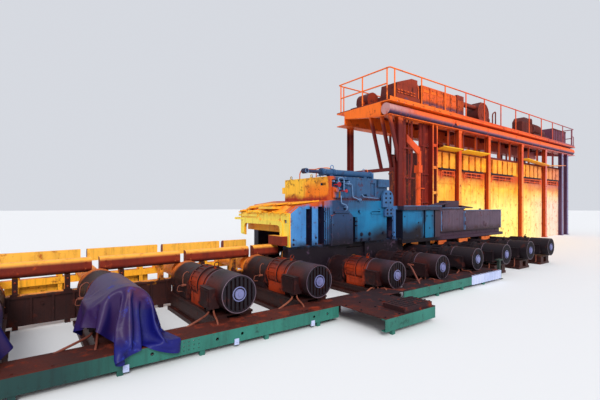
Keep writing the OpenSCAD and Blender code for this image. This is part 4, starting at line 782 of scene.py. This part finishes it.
def top_fittings():
    """Hatch, lifting eyes and stiffeners on the top case."""
    hatch = Shape()
    hatch.box((-0.45, -0.62, TOP_Z - 0.004), (0.35, 0.18, TOP_Z + 0.014))
    hatch.box((-0.40, -0.57, TOP_Z + 0.010), (0.30, 0.13, TOP_Z + 0.026))
    for x in row(-0.40, 0.14, 6):
        for y in (-0.595, 0.155):
            hatch.bolt((x, y, TOP_Z + 0.014), UP, 0.010)
    for y in (-0.45, -0.22, 0.01):
        for x in (-0.425, 0.325):
            hatch.bolt((x, y, TOP_Z + 0.014), UP, 0.010)
    for x in (-0.22, 0.12):
        hatch.pipe([(x, -0.30, TOP_Z + 0.02), (x, -0.30, TOP_Z + 0.09), (x, -0.14, TOP_Z + 0.09),
            (x, -0.14, TOP_Z + 0.02)], 0.011, 0.03)
    for x, y in EYE_PLACES:
        hatch.rod((x, y, TOP_Z - 0.004), (x, y, TOP_Z + 0.02), 0.045, 24)
        hatch.ring((x, y, TOP_Z + 0.055), AHEAD, 0.034, 0.011)
    hatch.finish("top_hatch", "top_slate")

    back = Shape()
    for x in row(-0.62, 0.235, 7):
        back.block(x, 0.01, (TOP_BACK_Y, 1.98), (0.60, 2.40))
    for z in (1.96, 2.40):
        back.box((-0.66, TOP_BACK_Y, z - 0.012), (0.82, 0.592, z + 0.012))
        for x in row(-0.60, 0.125, 12):
            back.bolt((x, 0.592, z), FAR, 0.008)
    back.finish("top_back_ribs", "top_slate")


# Laths on the roof of the entry hood: X range, Y range and Z
LATHS = (
    ((-1.90, -1.20), (0.72, 0.88), 1.690), ((-1.82, -1.10), (0.50, 0.68), 1.735),
    ((-1.86, -1.02), (0.30, 0.46), 1.770), ((-1.72, -0.98), (0.08, 0.27), 1.795),
    ((-1.78, -0.95), (-0.16, 0.04), 1.815), ((-1.64, -0.92), (-0.36, -0.20), 1.825),
    ((-1.70, -0.90), (-0.58, -0.40), 1.835), ((-1.54, -0.88), (-0.80, -0.62), 1.845),
    ((-1.60, -0.86), (-1.02, -0.85), 1.850))
LATH_TILT = 0.035
HOOD_X = -1.80
TORN_COUNT = 24


def hood_laths():
    """Laths on the hood, bolts along its front and scraps at its torn edge."""
    laths = Shape()
    for (x0, x1), (y0, y1), z in LATHS:
        low = z - LATH_TILT
        high = z + LATH_TILT
        laths.plate([(x0, y0, low), (x1, y0, high), (x1, y1, high), (x0 + 0.06, y1, low)], 0.026)
        for x in (x0 + 0.12, x1 - 0.1):
            lift = LATH_TILT * (2 * (x - x0) / (x1 - x0) - 1)
            laths.bolt((x, (y0 + y1) / 2, z + 0.022 + lift), UP, 0.010)
    for y in row(-1.10, 0.235, 9):
        laths.bolt((HOOD_X, y, 1.585), BACK, 0.011)
    for y in row(-1.08, 0.082, TORN_COUNT):
        y += random.uniform(-0.02, 0.02)
        out = random.uniform(0.03, 0.12)
        wide = random.uniform(0.03, 0.07)
        z = random.uniform(1.605, 1.66)
        laths.plate([(HOOD_X - out, y, z), (-1.70, y, z + 0.015), (-1.70, y + wide, z + 0.015),
            (HOOD_X - out * 0.6, y + wide * 0.7, z - 0.01)], 0.018)
    laths.finish("hood_laths", "heat_yellow")


# Roller table
CAP_Y = 0.757
CAP_R = 0.062
CAP_BOLTS_R = 0.086
POST_SHIFT = 0.38
APRON_Y = 0.79


def table_fittings():
    bolts = Shape()
    lugs = Shape()
    for x, z in AXIS_Z.items():
        if x in FEED_XS:
            continue
        for side in (-1, 1):
            lugs.rod((x, side * CAP_Y, z), (x, side * 0.772, z), CAP_R, 24)
            lugs.rod((x, side * CAP_Y, z), (x, side * 0.785, z), 0.030)
            bolts.bolt_circle((x, side * 0.760, z), (0, side, 0), CAP_BOLTS_R, 6, 0.009)
            for post in (-POST_SHIFT, POST_SHIFT):
                for z_bolt in (0.56, 0.68):
                    bolts.bolt((x + post, side * 0.765, z_bolt), (0, side, 0), 0.010)
                lugs.block(x + post, 0.055, (side * 0.765 - 0.006, 0.475), (side * 0.765 + 0.006, 0.52))
        for end in (-0.14, 0.14):
            for z_bolt in (0.90, 0.80):
                bolts.bolt((x + end, GUARD_Y, z_bolt), NEAR, 0.012)
    lugs.finish("table_lugs", "table_dark")
    bolts.finish("table_bolts", "guard_rust")

    ribs = Shape()
    for x0, x1 in [*zip(ENTRY_XS, ENTRY_XS[1:]), *zip(EXIT_XS, EXIT_XS[1:])]:
        for side in (-1, 1):
            for i in range(4):
                x = x0 + 0.30 + (x1 - x0 - 0.60) * i / 3
                ribs.block(x, 0.012, (side * 0.792 - 0.014, 0.07), (side * 0.792 + 0.014, 0.47))
            ribs.box((x0 + 0.25, side * APRON_Y - 0.012, 0.455), (x1 - 0.25, side * APRON_Y + 0.012, 0.485))
            ribs.bolt(((x0 + x1) / 2, side * APRON_Y, 0.35), (0, side, 0), 0.014)
    ribs.finish("apron_ribs", "table_dark")


# Cases beside the exit table. Edges of lids: X range, Y and Z
LID_EDGES = ((1.86, 3.60, SIDE_Y - 0.062, 1.782), (3.60, 4.92, SIDE_Y - 0.034, 1.722),
    (4.94, 7.32, SIDE_Y - 0.034, 1.652))
SEAM_XS = (3.66, 4.90, 4.97, 7.30)
# Slabs on the lids: X range and rise
SLABS = ((3.50, 4.05, 0.10), (4.74, 5.42, -0.06))
SLAB_YS = (-1.20, -0.87)
SLAB_Z = 1.77
# Brackets below the cases: X and half width
BRACKETS = ((3.64, 0.20), (4.77, 0.24), (6.15, 0.26))
BRACKET_YS = (-1.245, -1.225)
HINGES = ((3.69, 1.58), (3.69, 1.16), (6.13, 1.22), (6.25, 1.17), (4.93, 1.50), (4.93, 1.25))
# Rows of seven bolts: X range and Z
CASE_ROWS = ((3.66, 4.88, 1.60), (5.0, 7.28, 1.56), (5.0, 7.28, 1.09))


def exit_fittings():
    edges = Shape()
    for x0, x1, y, z in LID_EDGES:
        edges.box((x0, y, z - 0.006), (x1, SIDE_Y - 0.04, z + 0.008))
    for x in SEAM_XS:
        edges.block(x, 0.014, (SIDE_Y - 0.010, 1.04), (SIDE_Y + 0.002, 1.62))
    # the pale strips on the lid edges and seams are painted highlights of lit edges
    edges.finish("lid_edges", "grey_plate", "pale_fitting_or_highlight")

    slabs = Shape()
    near, far = SLAB_YS
    for x0, x1, rise in SLABS:
        high = SLAB_Z + rise
        slabs.plate([(x0, near, SLAB_Z), (x1, near, high), (x1, far, high), (x0, far, SLAB_Z)], 0.03)
    slabs.rod((6.05, -1.10, 1.64), (6.05, -1.10, 1.70), 0.035)
    slabs.finish("lid_slabs", "dark_steel")

    lit = Shape()
    front, inner = BRACKET_YS
    for x, half in BRACKETS:
        lit.block(x, half, (front, 0.67), (inner, 0.80))
        lit.block(x, half, (front, 0.782), (-1.10, 0.802))
        for k in (-0.8, 0.0, 0.8):
            gusset = x + half * k
            lit.plate([(gusset - 0.01, inner, 0.68), (gusset + 0.01, inner, 0.68),
                (gusset + 0.01, -1.12, 0.77), (gusset - 0.01, -1.12, 0.77)], 0.02)
            lit.bolt((gusset, front, 0.73), NEAR, 0.011)
    # the brackets take painted glow light of the hot bar
    lit.finish("lit_brackets", "roller_scale", "painted_glow_orange")

    hinges = Shape()
    for x, z in HINGES:
        hinges.block(x, 0.02, (SIDE_Y - 0.03, z - 0.05), (SIDE_Y + 0.004, z + 0.05))
        hinges.rod((x, SIDE_Y - 0.035, z - 0.06), (x, SIDE_Y - 0.035, z + 0.06), 0.012, 12)
    for x0, x1, z in CASE_ROWS:
        for i in range(7):
            hinges.bolt((x0 + (x1 - x0) * (i + 0.5) / 7, SIDE_Y, z), NEAR, 0.009)
    hinges.finish("box_hinges", "grey_plate", "rim_worn")


# Handrails
RAIL_XS = (4.16, 22.147)
RAIL_YS = (1.13, 3.74)
RAIL_TOP = 6.674
RAIL_MIDDLE = 6.2
RAIL_RETURN = 0.27
DECK_END = 22.2


def rail_fittings():
    rails = Shape()
    for x, ahead in zip(RAIL_XS, (1, -1)):
        for y, deeper in zip(RAIL_YS, (1, -1)):
            rails.pipe([(x, y + deeper * 0.12, RAIL_TOP), (x, y, RAIL_TOP),
                (x + ahead * RAIL_RETURN, y, RAIL_TOP)], 0.025, 0.1)
    x, y = RAIL_XS[1], RAIL_YS[0]
    rails.pipe([(x - RAIL_RETURN, y, RAIL_MIDDLE), (x, y, RAIL_MIDDLE), (x, y, 5.56)], 0.022, 0.1)
    rails.box((4.12, 1.085, 5.55), (DECK_END - 0.05, 1.093, 5.65))
    rails.finish("rail_ends", "gallery_orange")


# The duct along the gallery's edge, and the bolts of the girder over it
DUCT_Y = 1.29
DUCT_Z = 5.237
DUCT_R = 0.222
DUCT_JOINT_XS = (5.25, 8.15, 11.05, 13.95, 16.85, 19.75)
DUCT_HATCH_X = 8.35
DUCT_HATCH_Y = 1.018
GIRDER_BOLT_Y = 1.072
GIRDER_BOLT_Z = 5.505


def duct_fittings():
    joints = Shape()
    for x in row(4.5, 0.79, 23):
        joints.block(x, 0.010, (1.075, 5.02), (1.50, 5.032))
        joints.bolt((x, GIRDER_BOLT_Y, GIRDER_BOLT_Z), NEAR, 0.013)
        if x + 0.4 < DECK_END:
            joints.bolt((x + 0.4, GIRDER_BOLT_Y, GIRDER_BOLT_Z), NEAR, 0.013)
    for x in DUCT_JOINT_XS:
        for i in range(10):
            turn = math.pi * (1.02 + 0.96 * i / 9)
            y, z = round_place(DUCT_Y, DUCT_Z, DUCT_R, turn + math.pi / 2)
            if y < DUCT_Y + 0.07:
                joints.bolt((x - 0.006, y, z), BACK, 0.010)
    joints.rod((DUCT_HATCH_X, DUCT_HATCH_Y, DUCT_Z), (DUCT_HATCH_X, 1.035, DUCT_Z), 0.115, 32)
    joints.bolt_circle((DUCT_HATCH_X, DUCT_HATCH_Y, DUCT_Z), NEAR, 0.095, 8, 0.010, 0)
    joints.finish("duct_joints", "duct_grey")


# Windows of the chamber: X ranges
FRAME_BAYS = ((7.44, 8.53), (9.2, 10.9), (11.6, 13.9), (15.0, 17.4), (18.1, 19.9))
# Levels of the stays, the column bolts and the battened column's bolts
STAY_ZS = (0.9, 1.9, 2.72)
COLUMN_ZS = (0.35, 1.2, 2.05, 2.9, 3.75, 4.6)
BATTEN_ZS = (0.75, 1.55, 2.30, 3.30, 4.17)
BATTEN_XS = (6.735, 7.015)


def wall_front_fittings():
    frames = Shape()
    panes = Shape()
    y = WALL_Y - 0.075
    for x0, x1 in FRAME_BAYS:
        frames.pipe([(x0 + 0.04, y, 2.90), (x0 + 0.10, y, 3.22), (x1 - 0.10, y, 3.22),
            (x1 - 0.04, y, 2.98)], 0.022, 0.05)
        frames.pipe([(x0 + 0.08, y, 3.10), (x1 - 0.08, y, 3.06)], 0.016)
        panes.box((x0 + 0.24, WALL_Y - 0.03, 3.04), (x1 - 0.22, WALL_Y + 0.01, 3.20))
        for i in range(5):
            x = x0 + 0.28 + (x1 - x0 - 0.54) * i / 4
            panes.block(x, 0.012, (WALL_Y - 0.045, 3.02), (WALL_Y - 0.02, 3.22))
        for i in range(4):
            x = x0 + 0.2 + (x1 - x0 - 0.4) * i / 3
            frames.block(x, 0.02, (y - 0.01, 3.03), (WALL_Y + 0.01, 3.07))
            frames.rod((x, y, 3.06), (x, y, 3.22), 0.010, 8)
    frames.finish("wall_frames", "gallery_orange", "lit_frame")
    panes.finish("wall_panes", "pipe_red")

    bands = Shape()
    for x0, x1 in FRAME_BAYS:
        bands.box((x0 - 0.05, WALL_Y - 0.055, 3.285), (x1 + 0.02, WALL_Y + 0.01, 3.375))
        bands.box((x0 - 0.05, WALL_Y - 0.10, 3.275), (x1 + 0.02, WALL_Y - 0.03, 3.295))
    bands.finish("wall_bands", "pipe_red", "dark_bolt")

    stays = Shape()
    for x in row(7.30, 0.52, 26):
        stays.block(x, 0.012, (WALL_Y - 0.012, 0.15), (WALL_Y + 0.004, 2.95))
    for z in STAY_ZS:
        stays.box((WALL_XS[0], WALL_Y - 0.016, z), (WALL_XS[1], WALL_Y + 0.004, z + 0.035))
    stays.finish("wall_stays", "wall_yellow")


def wall_back_fittings():
    """Stiffening ribs on the back wall, between the columns."""
    ribs = Shape()
    upper = Shape()
    foot = WALL_BACK_Y - 0.004
    for x in row(7.25, 0.48, 28):
        if any(column - 0.05 < x < column + 0.25 for column in COLUMN_XS):
            continue
        ribs.block(x, 0.02, (foot, 0.10), (WALL_BACK_Y + 0.05, 3.25))
        upper.block(x, 0.06, (foot, 3.36), (WALL_BACK_Y + 0.05, 3.97))
        for z in (0.5, 1.5, 2.6):
            ribs.bolt((x + 0.12, WALL_BACK_Y, z), FAR, 0.014)
    columns = COLUMN_XS[1:5]
    starts = [7.07] + [x + 0.24 for x in columns]
    ends = [x - 0.03 for x in columns] + [20.1]
    for x0, x1 in zip(starts, ends):
        for z in (0.12, 1.15, 2.2, 3.2):
            ribs.box((x0, foot, z), (x1, WALL_BACK_Y + 0.06, z + 0.07))
    ribs.finish("wall_back_ribs", "wall_yellow")
    upper.finish("wall_back_panels", "panel_amber")


def column_fittings():
    edges = Shape()
    for x in COLUMN_XS:
        for z in COLUMN_ZS:
            for side in (0.035, 0.165):
                edges.bolt((x + side, COLUMN_BOLT_Y, z), NEAR, 0.012)
        edges.box((x - 0.03, 1.095, 4.86), (x + 0.23, 1.112, 4.985))
        edges.box((x - 0.04, 1.06, 0.02), (x + 0.24, 1.11, 0.045))
    for z in BATTEN_ZS:
        for x in BATTEN_XS:
            edges.bolt((x, COLUMN_BOLT_Y, z), NEAR, 0.012)
    edges.finish("column_bolts", "gallery_orange")


# Hoses up the columns: radius, bend and points
HOSES = (
    (0.020, 0.2, ((6.24, 1.27, 0.05), (6.24, 1.27, 3.6), (6.30, 1.24, 4.3), (6.30, 1.24, 4.98))),
    (0.014, 0.2, ((6.40, 1.27, 0.05), (6.40, 1.27, 4.98))),
    (0.022, 0.2, ((4.88, 1.05, 0.05), (4.88, 1.05, 2.2), (4.90, 1.10, 2.6), (4.90, 1.10, 4.98))),
    (0.040, 0.2, ((5.50, 1.30, 0.05), (5.50, 1.30, 2.8), (5.62, 1.30, 3.3), (5.62, 1.30, 4.98))),
    (0.018, 0.05, ((5.36, 1.24, 0.05), (5.36, 1.24, 4.98))))
HOSE_BAR_ZS = (0.6, 1.7, 2.8, 3.9)
# The lift cylinder: its axis, and the levels of its clamps
LIFT_X = 5.97
LIFT_Y = 1.25
CLAMP_ZS = (0.9, 1.9, 2.8)


def hose_fittings():
    hoses = Shape()
    for radius, bend, points in HOSES:
        hoses.pipe(points, radius, bend)
    for z in HOSE_BAR_ZS:
        hoses.box((4.86, 1.22, z), (5.70, 1.26, z + 0.05))
        hoses.box((6.18, 1.25, z + 0.2), (6.66, 1.30, z + 0.24))
    hoses.finish("column_hoses", "pipe_red")

    clamps = Shape()
    for z in CLAMP_ZS:
        clamps.ring((LIFT_X, LIFT_Y, z), UP, 0.099, 0.010, 32)
    for y in (1.15, 1.35):
        for x in (5.875, 6.065):
            clamps.bolt((x, y, 3.33), UP, 0.014)
    clamps.rod((LIFT_X, LIFT_Y, 2.05), (LIFT_X, 1.13, 2.05), 0.03)
    clamps.finish("lift_clamps", "gallery_orange")


# Machines on the deck: axes of the blower's inlet and the wide fan, and points of the pipes
INLET_X = 5.45
INLET_Z = 5.75
FAN_X = 11.37
FAN_Z = 6.16
BLOWER_PIPE = ((6.37, 1.55, 5.60), (6.37, 1.55, 6.45), (6.32, 1.60, 6.62), (6.20, 1.70, 6.62))
FAN_PIPE = ((12.3, 1.50, 5.58), (12.3, 1.50, 6.30), (12.6, 1.50, 6.45), (12.6, 1.50, 5.60))
TANK_PIPE = ((16.55, 1.5, 5.56), (16.55, 1.5, 6.63), (16.75, 1.5, 6.63), (16.75, 1.5, 5.90))
# The deck cabinet: front, first door and pitch of the doors
CABINET_Y = 1.42
DOOR_X = 6.50
DOOR_PITCH = 0.492


def machine_fittings():
    bits = Shape()
    for x in row(5.02, 0.19, 6):
        for z in (6.02, 6.12):
            bits.box((x, 1.462, z), (x + 0.12, 1.492, z + 0.04))
    bits.rod((INLET_X, 1.40, INLET_Z), (INLET_X, 1.44, INLET_Z), 0.13, 28)
    bits.ring((INLET_X, 1.41, INLET_Z), FAR, 0.13, 0.012)
    bits.pipe(BLOWER_PIPE, 0.045, 0.12)
    for x in row(9.04, 0.095, 5):
        bits.box((x, 1.41, 5.80), (x + 0.05, 1.425, 6.40))
    bits.ring((FAN_X, 1.478, FAN_Z), FAR, 0.50, 0.018, 56)
    bits.ring((FAN_X, 1.475, FAN_Z), FAR, 0.20, 0.016, 32)
    bits.bolt_circle((FAN_X, 1.48, FAN_Z), NEAR, 0.44, 12, 0.014, 0)
    for x in row(11.95, 0.05, 5):
        bits.ring((x, 1.77, 5.97), AHEAD, 0.192, 0.008, 32)
    bits.box((11.2, 1.52, 6.65), (11.56, 1.96, 6.69))
    bits.pipe(FAN_PIPE, 0.030, 0.1)
    for x in row(15.42, 0.2, 4):
        bits.box((x, 1.405, 5.75), (x + 0.08, CABINET_Y, 6.35))
    bits.pipe(TANK_PIPE, 0.05, 0.1)
    for x in row(17.15, 0.13, 6):
        bits.ring((x, 1.795, 6.18), AHEAD, 0.333, 0.010, 36)
    for x in row(19.72, 0.28, 7):
        bits.box((x, 1.405, 5.62), (x + 0.04, CABINET_Y, 6.45))
    bits.box((19.6, 1.40, 6.44), (21.7, 1.425, 6.50))
    bits.finish("machine_fittings", "deck_rust")

    doors = Shape()
    for x in row(DOOR_X, DOOR_PITCH, 5):
        doors.box((x + 0.06, 1.405, 6.30), (x + 0.39, 1.422, 6.40))
        for z in row(5.72, 0.035, 4):
            doors.box((x + 0.08, 1.398, z), (x + 0.37, 1.421, z + 0.015))
        doors.rod((x + 0.40, CABINET_Y, 6.08), (x + 0.40, 1.385, 6.08), 0.012, 10)
        doors.box((x + 0.392, 1.382, 6.00), (x + 0.408, 1.390, 6.10))
        for z in (5.74, 6.05, 6.38):
            doors.rod((x + 0.005, 1.413, z), (x + 0.005, 1.413, z + 0.07), 0.011, 10)
    doors.finish("cabinet_fittings", "gallery_orange")


# Kerb plate and step: line of bolts, the gap under the sheet, and a loose bar
PLATE_BOLT_Y = -3.165
SHEET_GAP = (-5.9, -4.6)
LOOSE_BAR = ((-2.92, -3.14, 0.25), (-2.92, -3.14, 0.262), (-2.75, -3.10, 0.262), (-2.60, -3.13, 0.25))


def step_fittings():
    marks = Shape()
    for x in row(-1.76, 0.072, 9):
        for y in row(-4.04, 0.078, 5):
            marks.box((x, y, 0.318), (x + 0.04, y + 0.016, 0.326))
    for x in (-2.20, -1.90, -1.15):
        for y in (-4.05, -3.60, -3.28):
            marks.bolt((x, y, KERB_TOP), UP, 0.012)
    marks.finish("step_marks", "dark_steel")

    rims = Shape()
    for x in [*row(-7.2, 0.31, 16), *row(-0.5, 0.31, 11)]:
        if not SHEET_GAP[0] < x < SHEET_GAP[1]:
            rims.bolt((x, PLATE_BOLT_Y, KERB_TOP), UP, 0.010)
    rims.rod((-1.46, -3.45, KERB_TOP), (-1.46, -3.45, 0.262), 0.11, 32)
    rims.pipe(LOOSE_BAR, 0.02, 0.05)
    rims.finish("plate_bolts", "kerb_rust")

    posts = Shape()
    posts.box((3.12, -3.10, 0.0), (3.18, -3.04, 0.45))
    posts.box((3.06, -3.12, 0.45), (3.26, -3.02, 0.48))
    posts.box((3.08, -3.14, 0.0), (3.22, -3.00, 0.014))
    posts.rod((3.15, -3.07, 0.20), (3.0, -3.12, 0.20), 0.014, 12)
    posts.finish("end_post", "kerb_green")


# The cloth sheets: X of the motor, size, turn of the sheet in degrees, shift in X and Y
SHEETS = {
    "motor_tarpaulin": (-5.25, (1.36, 1.74), 19, (0.03, -2.69)),
    "small_tarpaulin": (-6.65, (1.22, 1.34), 12, (0.0, -2.74)),
}
SHEET_CELL = 0.034
SHEET_FRAMES = 42
ARCH_R = 0.292
ARCH_Z = 0.605
ARCH_HALF_TURN = math.radians(42)
CLOTH = {"quality": 7, "mass": 0.25, "air_damping": 1.5, "tension_stiffness": 30,
    "compression_stiffness": 30, "shear_stiffness": 12, "bending_stiffness": 0.7}
CLOTH_COLLISION = {"distance_min": 0.010, "collision_quality": 3, "use_self_collision": True,
    "self_distance_min": 0.009}
COLLIDER_SKIN = 0.012
COLLIDER_FRICTION = 12
BED_YS = (-2.77, -0.93)


def arch(s):
    """X and Z, from the shaft, of a place at a length s from the top of a sheet bent over a motor."""
    straight = max(0.0, abs(s) - ARCH_R * ARCH_HALF_TURN)
    turn = (abs(s) - straight) / ARCH_R
    x = ARCH_R * math.sin(turn) + straight * math.cos(turn)
    return math.copysign(x, s), ARCH_R * math.cos(turn) - straight * math.sin(turn)


def bent_sheet(name, motor_x, size, turn, shift):
    across = round(size[0] / SHEET_CELL)
    along = round(size[1] / SHEET_CELL)
    cos = math.cos(math.radians(turn))
    sin = math.sin(math.radians(turn))
    places = []
    for j in range(along + 1):
        for i in range(across + 1):
            u = size[0] * (i / across - 0.5)
            v = size[1] * (j / along - 0.5)
            x, z = arch(shift[0] + u * cos - v * sin)
            places.append((motor_x + x, shift[1] + u * sin + v * cos, ARCH_Z + z))
    width = across + 1
    corners = [j * width + i for j in range(along) for i in range(across)]
    mesh = bpy.data.meshes.new(name)
    mesh.from_pydata(places, [], [(k, k + 1, k + 1 + width, k + width) for k in corners])
    return add_object(name, mesh)


def collider(shape):
    """A shape that the cloth falls on, removed afterwards."""
    mesh = bpy.data.meshes.new("collider")
    shape.mesh.to_mesh(mesh)
    shape.mesh.free()
    made = add_object("collider", mesh)
    made.modifiers.new("collision", "COLLISION")
    made.collision.thickness_outer = COLLIDER_SKIN
    made.collision.cloth_friction = COLLIDER_FRICTION
    return made


def motor_colliders(x):
    """The motor, coupling guard, terminal box, bed, kerb and floor under a sheet."""
    z = AXIS_Z[x]
    axis = z - COUPLING_DROP
    low_y, high_y = BED_YS
    rods = (
        ((x, FAN_Y, z), (x, FACE_Y, z), MOTOR_R + 0.006),
        ((x, FACE_Y, axis), (x, high_y, axis), COUPLING_R))
    boxes = (
        ((x - 0.36, TERMINAL_YS[0], z - 0.2), (x - 0.15, TERMINAL_YS[1], z + 0.07)),
        ((x - 0.33, low_y, 0), (x + 0.33, high_y, z - BED_DROP)),
        ((x - 1.5, KERB_Y, 0.06), (x + 1.5, low_y, KERB_TOP)),
        ((x - 2, -5, -0.3), (x + 2, 0, 0.0)))
    made = []
    for start, end, radius in rods:
        shape = Shape()
        shape.rod(start, end, radius, 48)
        made.append(collider(shape))
    for low, high in boxes:
        shape = Shape()
        shape.box(low, high)
        made.append(collider(shape))
    return made


def drape(sheet, motor_x):
    colliders = motor_colliders(motor_x)
    cloth = sheet.modifiers.new("cloth", "CLOTH")
    for key, value in CLOTH.items():
        setattr(cloth.settings, key, value)
    for key, value in CLOTH_COLLISION.items():
        setattr(cloth.collision_settings, key, value)
    scene = bpy.context.scene
    for number in range(1, SHEET_FRAMES + 1):
        scene.frame_set(number)
    bpy.context.view_layer.update()
    settled = bpy.data.meshes.new_from_object(sheet.evaluated_get(bpy.context.evaluated_depsgraph_get()))
    sheet.modifiers.clear()
    sheet.data = settled
    for made in colliders:
        bpy.data.objects.remove(made)
    scene.frame_set(1)


def throw_sheets():
    for name, (motor_x, size, turn, shift) in SHEETS.items():
        sheet = bent_sheet(name, motor_x, size, turn, shift)
        drape(sheet, motor_x)
        sheet.data.shade_smooth()
        sheet.data.materials.clear()
        sheet.data.materials.append(MATERIALS["sheet_blue"])
        smooth = sheet.modifiers.new("smooth", "SUBSURF")
        smooth.levels = 1
        smooth.render_levels = 1
        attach(sheet, "root")
        if name == "motor_tarpaulin":
            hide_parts("motor_sheet")


# The studio
FLOOR_GREY = (0.80, 0.80, 0.80, 1.0)
FLOOR_CORNERS = ((-150, -150, 0), (170, -150, 0), (170, 170, 0), (-150, 170, 0))
SUN_DIRECTION = Vector((0.35, 0.75, -0.62))
SUN_POWER = 2.3
SUN_ANGLE = math.radians(25)
SKY_COLOUR = (0.9, 0.93, 1.0, 1.0)
SKY_POWER = 0.75


def make_stage():
    mesh = bpy.data.meshes.new("studio_floor")
    mesh.from_pydata(FLOOR_CORNERS, [], [(0, 1, 2, 3)])
    floor = add_object("studio_floor", mesh)
    n = Nodes("studio_floor")
    floor.data.materials.append(n.finish(FLOOR_GREY, 0.9, 0.0))


def make_lights():
    sun = bpy.data.lights.new("studio_sun", "SUN")
    sun.energy = SUN_POWER
    sun.angle = SUN_ANGLE
    lamp = add_object("studio_sun", sun)
    lamp.rotation_mode = "QUATERNION"
    lamp.rotation_quaternion = SUN_DIRECTION.to_track_quat("-Z", "Y")
    world = bpy.data.worlds.new("studio_sky")
    bpy.context.scene.world = world
    world.use_nodes = True
    background = world.node_tree.nodes["Background"]
    background.inputs["Color"].default_value = SKY_COLOUR
    background.inputs["Strength"].default_value = SKY_POWER


bpy.context.scene.view_settings.view_transform = "Standard"
make_camera()
dress_nodes()
motor_ribs()
motor_fittings()
motor_conduits()
coupling_fittings()
kerb_fittings()
stand_bolts()
stand_weeps()
top_fittings()
valves()
top_pipes()
hood_laths()
table_fittings()
exit_fittings()
rail_fittings()
duct_fittings()
wall_front_fittings()
wall_back_fittings()
column_fittings()
hose_fittings()
machine_fittings()
step_fittings()
throw_sheets()
make_stage()
make_lights()
